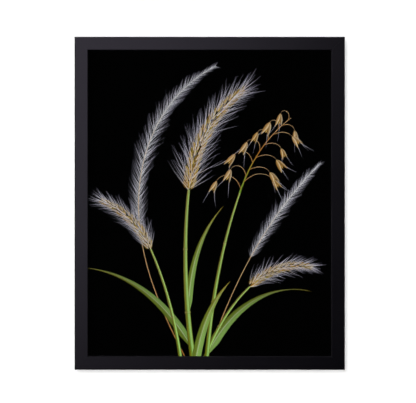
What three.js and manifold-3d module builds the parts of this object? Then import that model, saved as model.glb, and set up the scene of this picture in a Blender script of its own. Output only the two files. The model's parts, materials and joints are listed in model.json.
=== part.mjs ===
// A framed photographic print for the wall: a 16 x 20 inch sheet behind clear acrylic, in a flat black
// moulding.
//
// Units are millimetres. +Z is up, the picture faces -Y, and the wall is the plane y = 0. The origin is the
// middle notch of the sawtooth hanger, where the shank of the wall nail bears.
//
// Four mitred rails are glued and pinned at the corners with V-nails driven in from the back. The acrylic,
// the print and the backing board lie in the rabbet behind the lip, and flat framer's points driven into the
// rabbet wall hold them there. A stamped sawtooth hanger is nailed to the top rail, and two bumpers keep the
// bottom off the wall.

import * as THREE from 'three';
import { mergeVertices } from 'three/addons/utils/BufferGeometryUtils.js';
import Module from 'manifold-3d';

const wasm = await Module();
wasm.setup();

// The sheet and what lies in the rabbet with it
const SHEET_WIDTH = 406.4;
const SHEET_HEIGHT = 508;
const GLAZING_THICKNESS = 2;
const PRINT_THICKNESS = 0.4;
const BOARD_THICKNESS = 3;
const AIR_GAP = 0.4; // between the acrylic and the face of the print

// The moulding's section
const FACE_WIDTH = 21.5;
const MOULDING_DEPTH = 22;
const LIP_OVERLAP = 6; // how far the lip covers the sheet on each side
const LIP_THICKNESS = 8;
const RABBET_PLAY = 1.5; // between the sheet's edge and the rabbet wall
const OUTER_ROUND = 2; // radius of the front face's outer edge
const SIGHT_ROUND = 0.9; // radius of the front face's edge round the picture
const BACK_CHAMFER = 0.6;
const ROUND_SEGMENTS = 6; // in each quarter turn
const GLUE_LINE = 0.1; // at each mitre, across the joint

// V-nails: chevrons of strip steel, two at each corner, that straddle the mitre
const V_NAIL_REACHES = [5.5, 10.2]; // from the outer sides to the middle of the chevron
const V_NAIL_HALF_LENGTH = 2;
const V_NAIL_HALF_WIDTH = 3;
const V_NAIL_STEEL = 0.6;
const V_NAIL_HEIGHT = 10;
const V_NAIL_SUNK = 0.4; // below the back face

// Framer's points: flat steel tabs, half in the wood and half over the board
const POINT_WIDTH = 8;
const POINT_STEEL = 0.5;
const POINT_SHOWN = 10;
const POINT_DRIVEN = 6;
const POINT_TIP = 2; // width of the driven end
const POINT_EASE = 1.5; // at the corners of the end that shows
const POINT_SHOULDER = 1; // where the taper starts, inside the wood
const POINTS_ON_SHORT_RAIL = 3;
const POINTS_ON_LONG_RAIL = 4;

// The sawtooth hanger, its nails and the bumpers
const WALL_GAP = 3; // from the back of the moulding to the wall
const NOTCH_BELOW_TOP = 10; // from the top of the frame down to the notch
const HANGER_HALF_LENGTH = 24;
const HANGER_TAB = 7.5; // length of each flat end
const HANGER_RAMP = 2.5; // length of the bend up to the toothed bridge
const HANGER_STEEL = 0.8;
const HANGER_RISE = 2; // room behind the bridge for the head of the wall nail
const HANGER_ABOVE_NOTCH = 6.2;
const TOOTH_HEIGHT = 1.8;
const TOOTH_PITCH = 3;
const NOTCHES_EACH_SIDE = 4;
const HANGER_HOLE_INSET = 3.9; // from the end of the hanger to its nail
const HANGER_HOLE_RADIUS = 1.2;
const NAIL_RADIUS = 0.9;
const NAIL_HEAD_RADIUS = 2.2;
const NAIL_HEAD_HEIGHT = 0.9;
const NAIL_HEAD_RIM = 0.3; // height of the head's upright edge
const NAIL_LENGTH = 11;
const NAIL_TIP = 2;
const BUMPER_RADIUS = 5;
const BUMPER_ROUND = 0.8;
const BUMPER_ROUND_STEPS = 3;
const BUMPER_INSET = 22; // from the side of the frame to the bumper's centre

const CLEARANCE = 0.1; // round every piece of steel in its slot or hole, and under the sheets
const RIGHT_ANGLE = Math.PI / 2;
const PLATE_ARC_SEGMENTS = 16;
const TURNED_SEGMENTS = 24;
const MERGE_DISTANCE = 1e-4;
const CUT_PAST = 1; // how far a cut runs on past the face that it opens

// Sizes that follow
const SIGHT_WIDTH = SHEET_WIDTH - 2 * LIP_OVERLAP;
const SIGHT_HEIGHT = SHEET_HEIGHT - 2 * LIP_OVERLAP;
const FRAME_WIDTH = SIGHT_WIDTH + 2 * FACE_WIDTH;
const FRAME_HEIGHT = SIGHT_HEIGHT + 2 * FACE_WIDTH;
const BACK_WIDTH = FACE_WIDTH - LIP_OVERLAP - RABBET_PLAY; // of the moulding, behind the lip
const PRINT_DEPTH = LIP_THICKNESS + GLAZING_THICKNESS + AIR_GAP; // from the front face to the print
const BOARD_DEPTH = PRINT_DEPTH + PRINT_THICKNESS;
const POINT_DEPTH = BOARD_DEPTH + BOARD_THICKNESS;
const FRONT_Y = -WALL_GAP - MOULDING_DEPTH;
const CENTRE_Z = NOTCH_BELOW_TOP - FRAME_HEIGHT / 2;
const HANGER_NAIL_REACH = HANGER_HALF_LENGTH - HANGER_HOLE_INSET;

// The finishes. Each mesh gets a material of its own from one of them.
const BLACK_LACQUER = { color: '#26242a', roughness: 0.45, metalness: 0 };
const BRIGHT_STEEL = { color: '#a9adb0', roughness: 0.35, metalness: 1 };
const BRASS_PLATE = { color: '#b8975a', roughness: 0.35, metalness: 1 };
const CLEAR_ACRYLIC = { color: '#f4f8f8', roughness: 0.03, metalness: 0, transparent: true, opacity: 0.15 };
const BLACK_PRINT = { color: '#101012', roughness: 0.6, metalness: 0 };
const HARDBOARD = { color: '#8a6a4a', roughness: 0.85, metalness: 0 };
const BLACK_FELT = { color: '#1b1b1d', roughness: 0.95, metalness: 0 };

// A geometry as a named mesh with its own material.
function piece(name, geometry, finish) {
  const mesh = new THREE.Mesh(geometry, new THREE.MeshStandardMaterial(finish));
  mesh.name = name;
  return mesh;
}

// A closed geometry as a manifold solid. Only the positions are kept, so that shared corners merge.
function solid(geometry) {
  const bare = new THREE.BufferGeometry();
  bare.setAttribute('position', geometry.getAttribute('position'));
  if (geometry.index) {
    bare.setIndex(geometry.index);
  }
  const merged = mergeVertices(bare, MERGE_DISTANCE);
  return new wasm.Manifold(
    new wasm.Mesh({
      numProp: 3,
      vertProperties: merged.attributes.position.array,
      triVerts: new Uint32Array(merged.index.array),
    })
  );
}

// A manifold solid as a geometry again.
function geometryOf(body) {
  const { vertProperties, triVerts } = body.getMesh();
  const geometry = new THREE.BufferGeometry();
  geometry.setAttribute('position', new THREE.BufferAttribute(vertProperties, 3));
  geometry.setIndex(new THREE.BufferAttribute(triVerts, 1));
  return geometry;
}

// An outline drawn in x and z, as a plate from y = near to y = far.
function plate(outline, near, far) {
  const geometry = new THREE.ExtrudeGeometry(outline, {
    depth: far - near,
    bevelEnabled: false,
    curveSegments: PLATE_ARC_SEGMENTS,
  });
  geometry.rotateX(RIGHT_ANGLE); // the outline's y becomes z, and the depth runs towards -y
  geometry.translate(0, far, 0);
  return solid(geometry);
}

function outlineOf(points) {
  return new THREE.Shape(points.map(([x, z]) => new THREE.Vector2(x, z)));
}

// One of the sheets in the rabbet, with its face at a depth behind the front face. It stands on the rabbet
// wall of the bottom rail.
function sheet(name, thickness, depth, finish) {
  const mesh = piece(name, new THREE.BoxGeometry(SHEET_WIDTH, thickness, SHEET_HEIGHT), finish);
  mesh.position.set(0, depth + thickness / 2, CLEARANCE - RABBET_PLAY);
  return mesh;
}

// The moulding's section: x runs in from the outer side, and y back from the front face.
function mouldingSection() {
  const section = new THREE.Shape();
  section.moveTo(OUTER_ROUND, 0);
  section.lineTo(FACE_WIDTH - SIGHT_ROUND, 0);
  section.absarc(FACE_WIDTH - SIGHT_ROUND, SIGHT_ROUND, SIGHT_ROUND, -RIGHT_ANGLE, 0);
  section.lineTo(FACE_WIDTH, LIP_THICKNESS);
  section.lineTo(BACK_WIDTH, LIP_THICKNESS);
  section.lineTo(BACK_WIDTH, MOULDING_DEPTH - BACK_CHAMFER);
  section.lineTo(BACK_WIDTH - BACK_CHAMFER, MOULDING_DEPTH);
  section.lineTo(BACK_CHAMFER, MOULDING_DEPTH);
  section.lineTo(0, MOULDING_DEPTH - BACK_CHAMFER);
  section.lineTo(0, OUTER_ROUND);
  section.absarc(OUTER_ROUND, OUTER_ROUND, OUTER_ROUND, 2 * RIGHT_ANGLE, 3 * RIGHT_ANGLE);
  return section;
}

// A length of moulding along x, centred, with its outer side up at z = reach and both ends cut at 45 degrees.
function mitredMoulding(length, reach) {
  const geometry = new THREE.ExtrudeGeometry(mouldingSection(), {
    depth: length,
    bevelEnabled: false,
    curveSegments: ROUND_SEGMENTS,
  });
  const at = geometry.getAttribute('position');
  const halfGap = (GLUE_LINE / 2) * Math.SQRT2;
  for (let i = 0; i < at.count; i++) {
    const inward = at.getX(i);
    const cut = inward + halfGap;
    const along = at.getZ(i) > 0 ? length / 2 - cut : cut - length / 2;
    at.setXYZ(i, along, at.getY(i), reach - inward);
  }
  return solid(geometry);
}

// A V-nail's chevron across the mitre of the left end, and the slot for it when grown by a margin.
function vNail(length, reach, fromSides, margin) {
  const slope = Math.hypot(2 * V_NAIL_HALF_LENGTH, V_NAIL_HALF_WIDTH) / V_NAIL_HALF_WIDTH;
  const shift = margin * slope;
  const strip = V_NAIL_STEEL * slope + 2 * shift;
  const tip = V_NAIL_HALF_LENGTH + shift;
  const wing = V_NAIL_HALF_WIDTH + margin;
  const back = tip - (wing * 2 * V_NAIL_HALF_LENGTH) / V_NAIL_HALF_WIDTH;
  const chevron = [
    [tip, 0],
    [back, wing],
    [back - strip, wing],
    [tip - strip, 0],
    [back - strip, -wing],
    [back, -wing],
  ];
  // The chevron points along the mitre, in from the corner.
  const placed = chevron.map(([along, across]) => [
    fromSides - length / 2 + (along + across) * Math.SQRT1_2,
    reach - fromSides + (across - along) * Math.SQRT1_2,
  ]);
  const far = MOULDING_DEPTH - V_NAIL_SUNK;
  const slotFar = margin > 0 ? MOULDING_DEPTH + CUT_PAST : far;
  return plate(outlineOf(placed), far - V_NAIL_HEIGHT - margin, slotFar);
}

// A framer's point at x, driven into the rabbet wall, and the slot for it when grown by a margin.
function framersPoint(reach, x, margin) {
  const wall = reach - BACK_WIDTH;
  const half = POINT_WIDTH / 2 + margin;
  const tip = POINT_TIP / 2 + margin;
  const end = wall + POINT_DRIVEN + margin;
  const shown = wall - POINT_SHOWN;
  const outline = outlineOf([
    [x - half + POINT_EASE, shown],
    [x + half - POINT_EASE, shown],
    [x + half, shown + POINT_EASE],
    [x + half, wall + POINT_SHOULDER],
    [x + tip, end],
    [x - tip, end],
    [x - half, wall + POINT_SHOULDER],
    [x - half, shown + POINT_EASE],
  ]);
  return plate(outline, POINT_DEPTH - margin, POINT_DEPTH + POINT_STEEL + margin);
}

// The stamped hanger, with the notch at x = z = 0 and its flat ends on y = 0.
function sawtoothHanger() {
  const ramp = HANGER_HALF_LENGTH - HANGER_TAB;
  const bridge = ramp - HANGER_RAMP;
  const top = HANGER_RISE + HANGER_STEEL;
  const sideView = outlineOf([
    [-HANGER_HALF_LENGTH, 0],
    [-ramp, 0],
    [-bridge, HANGER_RISE],
    [bridge, HANGER_RISE],
    [ramp, 0],
    [HANGER_HALF_LENGTH, 0],
    [HANGER_HALF_LENGTH, HANGER_STEEL],
    [ramp - HANGER_STEEL / 2, HANGER_STEEL],
    [bridge - HANGER_STEEL / 2, top],
    [HANGER_STEEL / 2 - bridge, top],
    [HANGER_STEEL / 2 - ramp, HANGER_STEEL],
    [-HANGER_HALF_LENGTH, HANGER_STEEL],
  ]);
  const strip = new THREE.ExtrudeGeometry(sideView, {
    depth: HANGER_ABOVE_NOTCH + TOOTH_HEIGHT,
    bevelEnabled: false,
  });
  strip.translate(0, 0, -TOOTH_HEIGHT);

  const middle = (HANGER_ABOVE_NOTCH - TOOTH_HEIGHT) / 2;
  const corner = (HANGER_ABOVE_NOTCH + TOOTH_HEIGHT) / 2;
  const endCentre = HANGER_HALF_LENGTH - corner;
  const faceView = new THREE.Shape();
  faceView.moveTo(endCentre, HANGER_ABOVE_NOTCH);
  faceView.absarc(-endCentre, middle, corner, RIGHT_ANGLE, 3 * RIGHT_ANGLE);
  for (let notch = -NOTCHES_EACH_SIDE; notch <= NOTCHES_EACH_SIDE; notch++) {
    const x = notch * TOOTH_PITCH;
    faceView.lineTo(x - TOOTH_PITCH / 2, -TOOTH_HEIGHT);
    faceView.lineTo(x, 0);
    faceView.lineTo(x + TOOTH_PITCH / 2, -TOOTH_HEIGHT);
  }
  faceView.absarc(endCentre, middle, corner, -RIGHT_ANGLE, RIGHT_ANGLE);
  for (const side of [-1, 1]) {
    const hole = new THREE.Path();
    hole.absarc(side * HANGER_NAIL_REACH, middle, HANGER_HOLE_RADIUS, 0, 4 * RIGHT_ANGLE);
    faceView.holes.push(hole);
  }
  return solid(strip).intersect(plate(faceView, -CUT_PAST, top + CUT_PAST));
}

// A turned piece about the y axis, from [radius, y] points that start and end on the axis.
function turned(points) {
  const profile = points.map(([radius, y]) => new THREE.Vector2(radius, y));
  return new THREE.LatheGeometry(profile, TURNED_SEGMENTS);
}

// The hanger's nail, with the underside of its head at y = 0 and its shank towards -y.
function hangerNail(margin = 0) {
  const radius = NAIL_RADIUS + margin;
  const end = -NAIL_LENGTH - margin;
  return turned([
    [0, end],
    [radius, end + NAIL_TIP],
    [radius, 0],
    [NAIL_HEAD_RADIUS, 0],
    [NAIL_HEAD_RADIUS, NAIL_HEAD_RIM],
    [NAIL_HEAD_RADIUS / 2, NAIL_HEAD_HEIGHT - NAIL_HEAD_RIM / 3],
    [0, NAIL_HEAD_HEIGHT],
  ]);
}

// A felt bumper on the plane y = 0, with its wall side towards +y.
function bumper() {
  const points = [[0, 0], [BUMPER_RADIUS, 0]];
  for (let step = 0; step <= BUMPER_ROUND_STEPS; step++) {
    const angle = (step / BUMPER_ROUND_STEPS) * RIGHT_ANGLE;
    const radius = BUMPER_RADIUS - BUMPER_ROUND * (1 - Math.cos(angle));
    points.push([radius, WALL_GAP - BUMPER_ROUND * (1 - Math.sin(angle))]);
  }
  points.push([0, WALL_GAP]);
  return turned(points);
}

// One rail with its framer's points, and the V-nails of the corner on its left, turned about y into its
// place in the frame.
function rail(side, corner, length, reach, turn, pointCount, cuts = []) {
  const group = new THREE.Group();
  group.rotation.y = turn;
  const pointPitch = (length - 2 * FACE_WIDTH) / pointCount;
  const pointPlaces = Array.from({ length: pointCount }, (_, i) => (i - (pointCount - 1) / 2) * pointPitch);

  let wood = mitredMoulding(length, reach);
  for (const fromSides of V_NAIL_REACHES) {
    const slot = vNail(length, reach, fromSides, CLEARANCE);
    wood = wood.subtract(slot).subtract(slot.mirror([1, 0, 0]));
  }
  for (const x of pointPlaces) {
    wood = wood.subtract(framersPoint(reach, x, CLEARANCE));
  }
  for (const cut of cuts) {
    wood = wood.subtract(cut);
  }
  group.add(piece(`rail_${side}`, geometryOf(wood), BLACK_LACQUER));

  V_NAIL_REACHES.forEach((fromSides, i) => {
    const nail = geometryOf(vNail(length, reach, fromSides, 0));
    group.add(piece(`v_nail_${corner}_${i + 1}`, nail, BRIGHT_STEEL));
  });
  pointPlaces.forEach((x, i) => {
    const point = geometryOf(framersPoint(reach, x, 0));
    group.add(piece(`framers_point_${side}_${i + 1}`, point, BRIGHT_STEEL));
  });
  return group;
}

// What is nailed and stuck to the back of the moulding. Each place is [x, z] from the frame's centre.
const halfWidth = FRAME_WIDTH / 2;
const halfHeight = FRAME_HEIGHT / 2;
const notchHeight = halfHeight - NOTCH_BELOW_TOP;
const nailHeight = notchHeight + (HANGER_ABOVE_NOTCH - TOOTH_HEIGHT) / 2;
const nailPlaces = { left: [-HANGER_NAIL_REACH, nailHeight], right: [HANGER_NAIL_REACH, nailHeight] };
const bumperReach = halfWidth - BUMPER_INSET;
const bumperHeight = BACK_WIDTH / 2 - halfHeight;
const bumperPlaces = { left: [-bumperReach, bumperHeight], right: [bumperReach, bumperHeight] };
const nailHoles = Object.values(nailPlaces).map(([x, z]) =>
  solid(hangerNail(CLEARANCE)).translate([x, MOULDING_DEPTH + HANGER_STEEL, z])
);

const frame = new THREE.Group();
frame.position.set(0, FRONT_Y, CENTRE_Z);
frame.add(
  rail('top', 'top_left', FRAME_WIDTH, halfHeight, 0, POINTS_ON_SHORT_RAIL, nailHoles),
  rail('right', 'top_right', FRAME_HEIGHT, halfWidth, RIGHT_ANGLE, POINTS_ON_LONG_RAIL),
  rail('bottom', 'bottom_right', FRAME_WIDTH, halfHeight, 2 * RIGHT_ANGLE, POINTS_ON_SHORT_RAIL),
  rail('left', 'bottom_left', FRAME_HEIGHT, halfWidth, 3 * RIGHT_ANGLE, POINTS_ON_LONG_RAIL),
  sheet('glazing', GLAZING_THICKNESS, LIP_THICKNESS, CLEAR_ACRYLIC),
  sheet('print', PRINT_THICKNESS, PRINT_DEPTH, BLACK_PRINT),
  sheet('backing_board', BOARD_THICKNESS, BOARD_DEPTH, HARDBOARD)
);

const hanger = piece('sawtooth_hanger', geometryOf(sawtoothHanger()), BRASS_PLATE);
hanger.position.set(0, MOULDING_DEPTH, notchHeight);
frame.add(hanger);

for (const [side, [x, z]] of Object.entries(nailPlaces)) {
  const nail = piece(`hanger_nail_${side}`, hangerNail(), BRASS_PLATE);
  nail.position.set(x, MOULDING_DEPTH + HANGER_STEEL, z);
  frame.add(nail);
}
for (const [side, [x, z]] of Object.entries(bumperPlaces)) {
  const pad = piece(`bumper_${side}`, bumper(), BLACK_FELT);
  pad.position.set(x, MOULDING_DEPTH, z);
  frame.add(pad);
}

const framedPrint = new THREE.Group();
framedPrint.add(frame);

export default framedPrint;
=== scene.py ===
"""Dresses a framed photographic print: the moulding, the acrylic, the printed grasses and the back."""

import json
import logging
import math
import random
from collections.abc import Iterator
from dataclasses import dataclass, field
from enum import Enum

import bmesh
import bpy
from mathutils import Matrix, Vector

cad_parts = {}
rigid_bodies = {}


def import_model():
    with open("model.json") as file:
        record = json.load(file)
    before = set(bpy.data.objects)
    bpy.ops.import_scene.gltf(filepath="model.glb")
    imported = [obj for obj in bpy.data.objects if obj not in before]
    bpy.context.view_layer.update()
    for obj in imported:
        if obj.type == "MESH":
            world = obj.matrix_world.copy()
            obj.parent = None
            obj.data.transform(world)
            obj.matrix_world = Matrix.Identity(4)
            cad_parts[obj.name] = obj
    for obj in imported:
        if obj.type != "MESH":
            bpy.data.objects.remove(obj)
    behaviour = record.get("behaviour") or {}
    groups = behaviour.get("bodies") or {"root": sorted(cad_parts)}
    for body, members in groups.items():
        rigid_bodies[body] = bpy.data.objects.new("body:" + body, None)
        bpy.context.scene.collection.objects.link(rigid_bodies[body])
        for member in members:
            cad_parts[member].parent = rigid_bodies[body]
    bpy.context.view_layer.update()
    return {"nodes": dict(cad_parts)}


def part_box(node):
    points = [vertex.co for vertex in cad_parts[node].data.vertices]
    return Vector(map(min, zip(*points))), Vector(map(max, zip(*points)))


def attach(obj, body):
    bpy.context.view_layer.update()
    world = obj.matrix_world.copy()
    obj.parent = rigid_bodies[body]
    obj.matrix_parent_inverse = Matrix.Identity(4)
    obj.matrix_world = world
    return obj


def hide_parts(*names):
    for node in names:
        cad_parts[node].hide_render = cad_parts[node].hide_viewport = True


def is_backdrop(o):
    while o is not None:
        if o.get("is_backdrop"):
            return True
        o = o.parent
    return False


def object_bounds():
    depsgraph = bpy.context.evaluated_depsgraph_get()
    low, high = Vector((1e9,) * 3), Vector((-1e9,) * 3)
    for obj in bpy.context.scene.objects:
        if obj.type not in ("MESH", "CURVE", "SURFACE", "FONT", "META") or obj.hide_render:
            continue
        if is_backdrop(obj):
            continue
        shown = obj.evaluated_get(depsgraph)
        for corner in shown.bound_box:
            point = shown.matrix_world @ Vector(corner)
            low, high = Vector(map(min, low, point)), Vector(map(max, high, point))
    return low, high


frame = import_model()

MM = 0.001
BODY = "root"
SAME_POINT = 0.001 * MM
FLAT = math.radians(1)
SHARP = math.radians(32)
WAVE_PER_PITCH = math.tau / 20  # A wave texture of scale 1 has one band in this length.
WHITE = (1.0, 1.0, 1.0, 1.0)
BLACK = (0.0, 0.0, 0.0, 1.0)

Colour = tuple[float, float, float, float]
Point = tuple[float, float]
Inks = tuple[Colour, Colour, Colour]
log = logging.getLogger("framed_print")


# ------------------------------------------------------------------------------ colours and nodes


def linear(code: str) -> Colour:
    """Turns an sRGB hex colour into linear light.

    Args:
        code: The colour, such as "#c8a45c".

    Returns:
        Red, green, blue and an alpha of 1.
    """
    parts = [int(code[i : i + 2], 16) / 255 for i in (1, 3, 5)]
    light = [part / 12.92 if part <= 0.04045 else ((part + 0.055) / 1.055) ** 2.4 for part in parts]
    return (light[0], light[1], light[2], 1.0)


def between(first: float, last: float, share: float) -> float:
    """Finds the value that lies a share of the way from the first to the last."""
    return first + (last - first) * share


def blend(first: Colour, second: Colour, share: float) -> Colour:
    """Mixes two linear colours, with the given share of the second."""
    mixed = [between(*pair, share) for pair in zip(first, second)]
    return (mixed[0], mixed[1], mixed[2], 1.0)


def add_node(
    tree: bpy.types.NodeTree, kind: str, inputs: dict | None = None, **settings: object
) -> bpy.types.Node:
    """Adds a shader node with its settings and what feeds it.

    Args:
        tree: The node tree of a material or a world.
        kind: The node's type without its ShaderNode prefix.
        inputs: For each input, a value, a socket, or a node whose first output feeds it.
        settings: The node's own properties.

    Returns:
        The new node.
    """
    node = tree.nodes.new("ShaderNode" + kind)
    for name, value in settings.items():
        setattr(node, name, value)
    for name, value in (inputs or {}).items():
        if isinstance(value, bpy.types.Node):
            tree.links.new(value.outputs[0], node.inputs[name])
        elif isinstance(value, bpy.types.NodeSocket):
            tree.links.new(value, node.inputs[name])
        else:
            node.inputs[name].default_value = value
    return node


# --------------------------------------------------------------------------------------- finishes


class Grain(Enum):
    """Which way a length of wood runs. The value is the axis."""

    ACROSS = 0
    UPRIGHT = 2


class Slot(Enum):
    """The record's material slots, one of which is given with each new piece."""

    MOULDING = "black_moulding"
    STEEL = "strip_steel"
    BRASS = "brass_plate"
    FELT = "black_felt"
    PAPER = "printed_paper"


@dataclass(frozen=True)
class Finish:
    """A surface finish. It makes its material once, and hands out the same one after that."""

    name: str

    def material(self) -> bpy.types.Material:
        """Makes the material at the first call.

        Returns:
            The finish's material.
        """
        known = bpy.data.materials.get(self.name)
        if known is not None:
            return known
        made = bpy.data.materials.new(self.name)
        made.use_nodes = True
        made.node_tree.nodes.clear()
        add_node(made.node_tree, "OutputMaterial", {"Surface": self.surface(made.node_tree)})
        return made

    def surface(self, tree: bpy.types.NodeTree) -> bpy.types.Node:
        """Builds the shader in an empty node tree, and returns the node that the surface shows."""
        raise NotImplementedError


@dataclass(frozen=True)
class SatinLacquer(Finish):
    """Black nitrocellulose lacquer, sprayed on a fine-grained wood and rubbed down to a satin."""

    grain: Grain = Grain.UPRIGHT
    # The wood's pores are 0.5 mm wide and 14 mm long, and are drawn three times as coarse to show.
    pore_width: float = 1.5 * MM
    pore_length: float = 42 * MM
    film_patch: float = 90 * MM
    # The spray leaves the arrises drier, so they are this much rougher than the faces.
    arris_dulling: float = 0.4

    def surface(self, tree: bpy.types.NodeTree) -> bpy.types.Node:
        """Builds the shader.

        Args:
            tree: The material's empty node tree.

        Returns:
            The shader node that the surface shows.
        """
        # The eye sees a deep black with a broad soft sheen, and close to, faint grain under the film.
        at = add_node(tree, "TexCoord").outputs["Object"]
        stretch = Vector((1, 1, 1))
        stretch[self.grain.value] = self.pore_width / self.pore_length
        along = add_node(tree, "Mapping", {"Vector": at, "Scale": stretch})
        pores = add_node(
            tree, "TexNoise", {"Vector": along, "Scale": 1 / self.pore_width, "Detail": 3.0}
        )
        film = add_node(
            tree, "TexNoise", {"Vector": at, "Scale": 1 / self.film_patch, "Detail": 2.0}
        )
        colour = add_node(
            tree, "Mix", {0: film, 6: linear("#000001"), 7: linear("#020203")}, data_type="RGBA"
        )
        arris = add_node(tree, "Attribute", attribute_name="arris").outputs["Fac"]
        spread = {"From Min": 0.3, "From Max": 0.7, "To Min": 0.36, "To Max": 0.40}
        satin = add_node(tree, "MapRange", {"Value": pores, **spread})
        dulled = {0: arris, 1: self.arris_dulling, 2: satin}
        rough = add_node(tree, "Math", dulled, operation="MULTIPLY_ADD")
        relief = add_node(tree, "Bump", {"Height": pores, "Distance": 0.05 * MM, "Strength": 0.5})
        return add_node(
            tree,
            "BsdfPrincipled",
            {"Base Color": colour.outputs[2], "Roughness": rough, "Normal": relief, "IOR": 1.5},
        )


@dataclass(frozen=True)
class RawObeche(Finish):
    """Obeche, planed and left bare on the back and in the rabbet of a painted moulding."""

    grain: Grain = Grain.UPRIGHT
    # The pores are 0.35 mm wide and 6 mm long, and are drawn two and a half times as coarse to show.
    pore_width: float = 0.9 * MM
    pore_length: float = 15 * MM
    band_width: float = 4 * MM
    band_length: float = 160 * MM
    # The lacquer's spray blackens the rabbet from the front, and fades out between these two depths.
    sprayed_to: float = -14.2 * MM
    bare_from: float = -12.5 * MM

    def surface(self, tree: bpy.types.NodeTree) -> bpy.types.Node:
        """Builds the shader.

        Args:
            tree: The material's empty node tree.

        Returns:
            The shader node that the surface shows.
        """
        # The eye sees a matt, pale straw wood with short dark pores and slow bands of growth.
        at = add_node(tree, "TexCoord").outputs["Object"]
        pore_stretch = Vector((1, 1, 1))
        pore_stretch[self.grain.value] = self.pore_width / self.pore_length
        band_stretch = Vector((1, 1, 1))
        band_stretch[self.grain.value] = self.band_width / self.band_length
        fine = add_node(tree, "Mapping", {"Vector": at, "Scale": pore_stretch})
        slow = add_node(tree, "Mapping", {"Vector": at, "Scale": band_stretch})
        pores = add_node(
            tree, "TexNoise", {"Vector": fine, "Scale": 1 / self.pore_width, "Detail": 3.0}
        )
        bands = add_node(
            tree, "TexNoise", {"Vector": slow, "Scale": 1 / self.band_width, "Detail": 4.0}
        )
        spread = {"Value": bands, "From Min": 0.35, "From Max": 0.65}
        growth = add_node(tree, "MapRange", spread)
        rough = add_node(tree, "MapRange", {**spread, "To Min": 0.6, "To Max": 0.75})
        deep = {"From Min": 0.56, "From Max": 0.7, "To Max": 0.55}
        dark = add_node(tree, "MapRange", {"Value": pores, **deep})
        wood = add_node(
            tree, "Mix", {0: growth, 6: linear("#d9bd93"), 7: linear("#b9935f")}, data_type="RGBA"
        )
        bare = add_node(
            tree, "Mix", {0: dark, 6: wood.outputs[2], 7: linear("#7d5c37")}, data_type="RGBA"
        )
        depth = add_node(tree, "SeparateXYZ", {0: at}).outputs["Y"]
        fade = {"From Min": self.sprayed_to, "From Max": self.bare_from}
        clean = add_node(tree, "MapRange", {"Value": depth, **fade})
        colour = add_node(
            tree, "Mix", {0: clean, 6: linear("#020203"), 7: bare.outputs[2]}, data_type="RGBA"
        )
        relief = add_node(tree, "Bump", {"Height": pores, "Distance": 0.15 * MM, "Strength": 0.6})
        return add_node(
            tree,
            "BsdfPrincipled",
            {"Base Color": colour.outputs[2], "Roughness": rough, "Normal": relief, "IOR": 1.5},
        )


@dataclass(frozen=True)
class ClearAcrylic(Finish):
    """Acrylic sheet, cast between plates of glass and left with their polish."""

    ior: float = 1.49
    smear_patch: float = 35 * MM

    def surface(self, tree: bpy.types.NodeTree) -> bpy.types.Node:
        """Builds the shader.

        Args:
            tree: The material's empty node tree.

        Returns:
            The shader node that the surface shows.
        """
        # The eye looks through it, and sees only a weak mirror that grows at a slant.
        at = add_node(tree, "TexCoord").outputs["Object"]
        # A wiping cloth leaves faint patches, which only show in the mirrored light.
        smear = add_node(
            tree, "TexNoise", {"Vector": at, "Scale": 1 / self.smear_patch, "Detail": 4.0}
        )
        rough = add_node(tree, "MapRange", {"Value": smear, "To Min": 0.01, "To Max": 0.05})
        mirror = add_node(tree, "BsdfGlossy", {"Color": WHITE, "Roughness": rough})
        clear = add_node(tree, "BsdfTransparent", {"Color": linear("#f8fbfa")})
        # Light isn't bent here, so the back face would mirror all of it at a slant. It mirrors none.
        bent = add_node(tree, "Fresnel", {"IOR": self.ior})
        inside = add_node(tree, "NewGeometry").outputs["Backfacing"]
        outside = add_node(tree, "Math", {0: 1.0, 1: inside}, operation="SUBTRACT")
        share = add_node(tree, "Math", {0: bent, 1: outside}, operation="MULTIPLY")
        return add_node(tree, "MixShader", {0: share, 1: clear, 2: mirror})


@dataclass(frozen=True)
class LustrePaper(Finish):
    """Resin-coated photographic paper, embossed to a lustre and printed to its deepest black."""

    # The embossed pebbles are 0.4 mm wide, and are drawn about four times as coarse to show.
    pebble: float = 1.5 * MM
    mottle: float = 25 * MM

    def surface(self, tree: bpy.types.NodeTree) -> bpy.types.Node:
        """Builds the shader.

        Args:
            tree: The material's empty node tree.

        Returns:
            The shader node that the surface shows.
        """
        # The eye sees a black without depth, under a fine pebbled sheen.
        at = add_node(tree, "TexCoord").outputs["Object"]
        pebbles = add_node(
            tree, "TexVoronoi", {"Vector": at, "Scale": 1 / self.pebble}, feature="SMOOTH_F1"
        )
        mottle = add_node(tree, "TexNoise", {"Vector": at, "Scale": 1 / self.mottle})
        rough = add_node(tree, "MapRange", {"Value": mottle, "To Min": 0.34, "To Max": 0.42})
        relief = add_node(tree, "Bump", {"Height": pebbles, "Distance": 0.03 * MM, "Strength": 0.4})
        colour = self.colour(tree, mottle)
        return add_node(
            tree,
            "BsdfPrincipled",
            {"Base Color": colour, "Roughness": rough, "Normal": relief, "IOR": 1.5},
        )

    def colour(self, tree: bpy.types.NodeTree, mottle: bpy.types.Node) -> bpy.types.NodeSocket:
        """Builds the printed black, which a slow mottle varies a little, and returns its socket."""
        ends = {6: linear("#010101"), 7: linear("#020202")}
        return add_node(tree, "Mix", {0: mottle, **ends}, data_type="RGBA").outputs[2]


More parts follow.
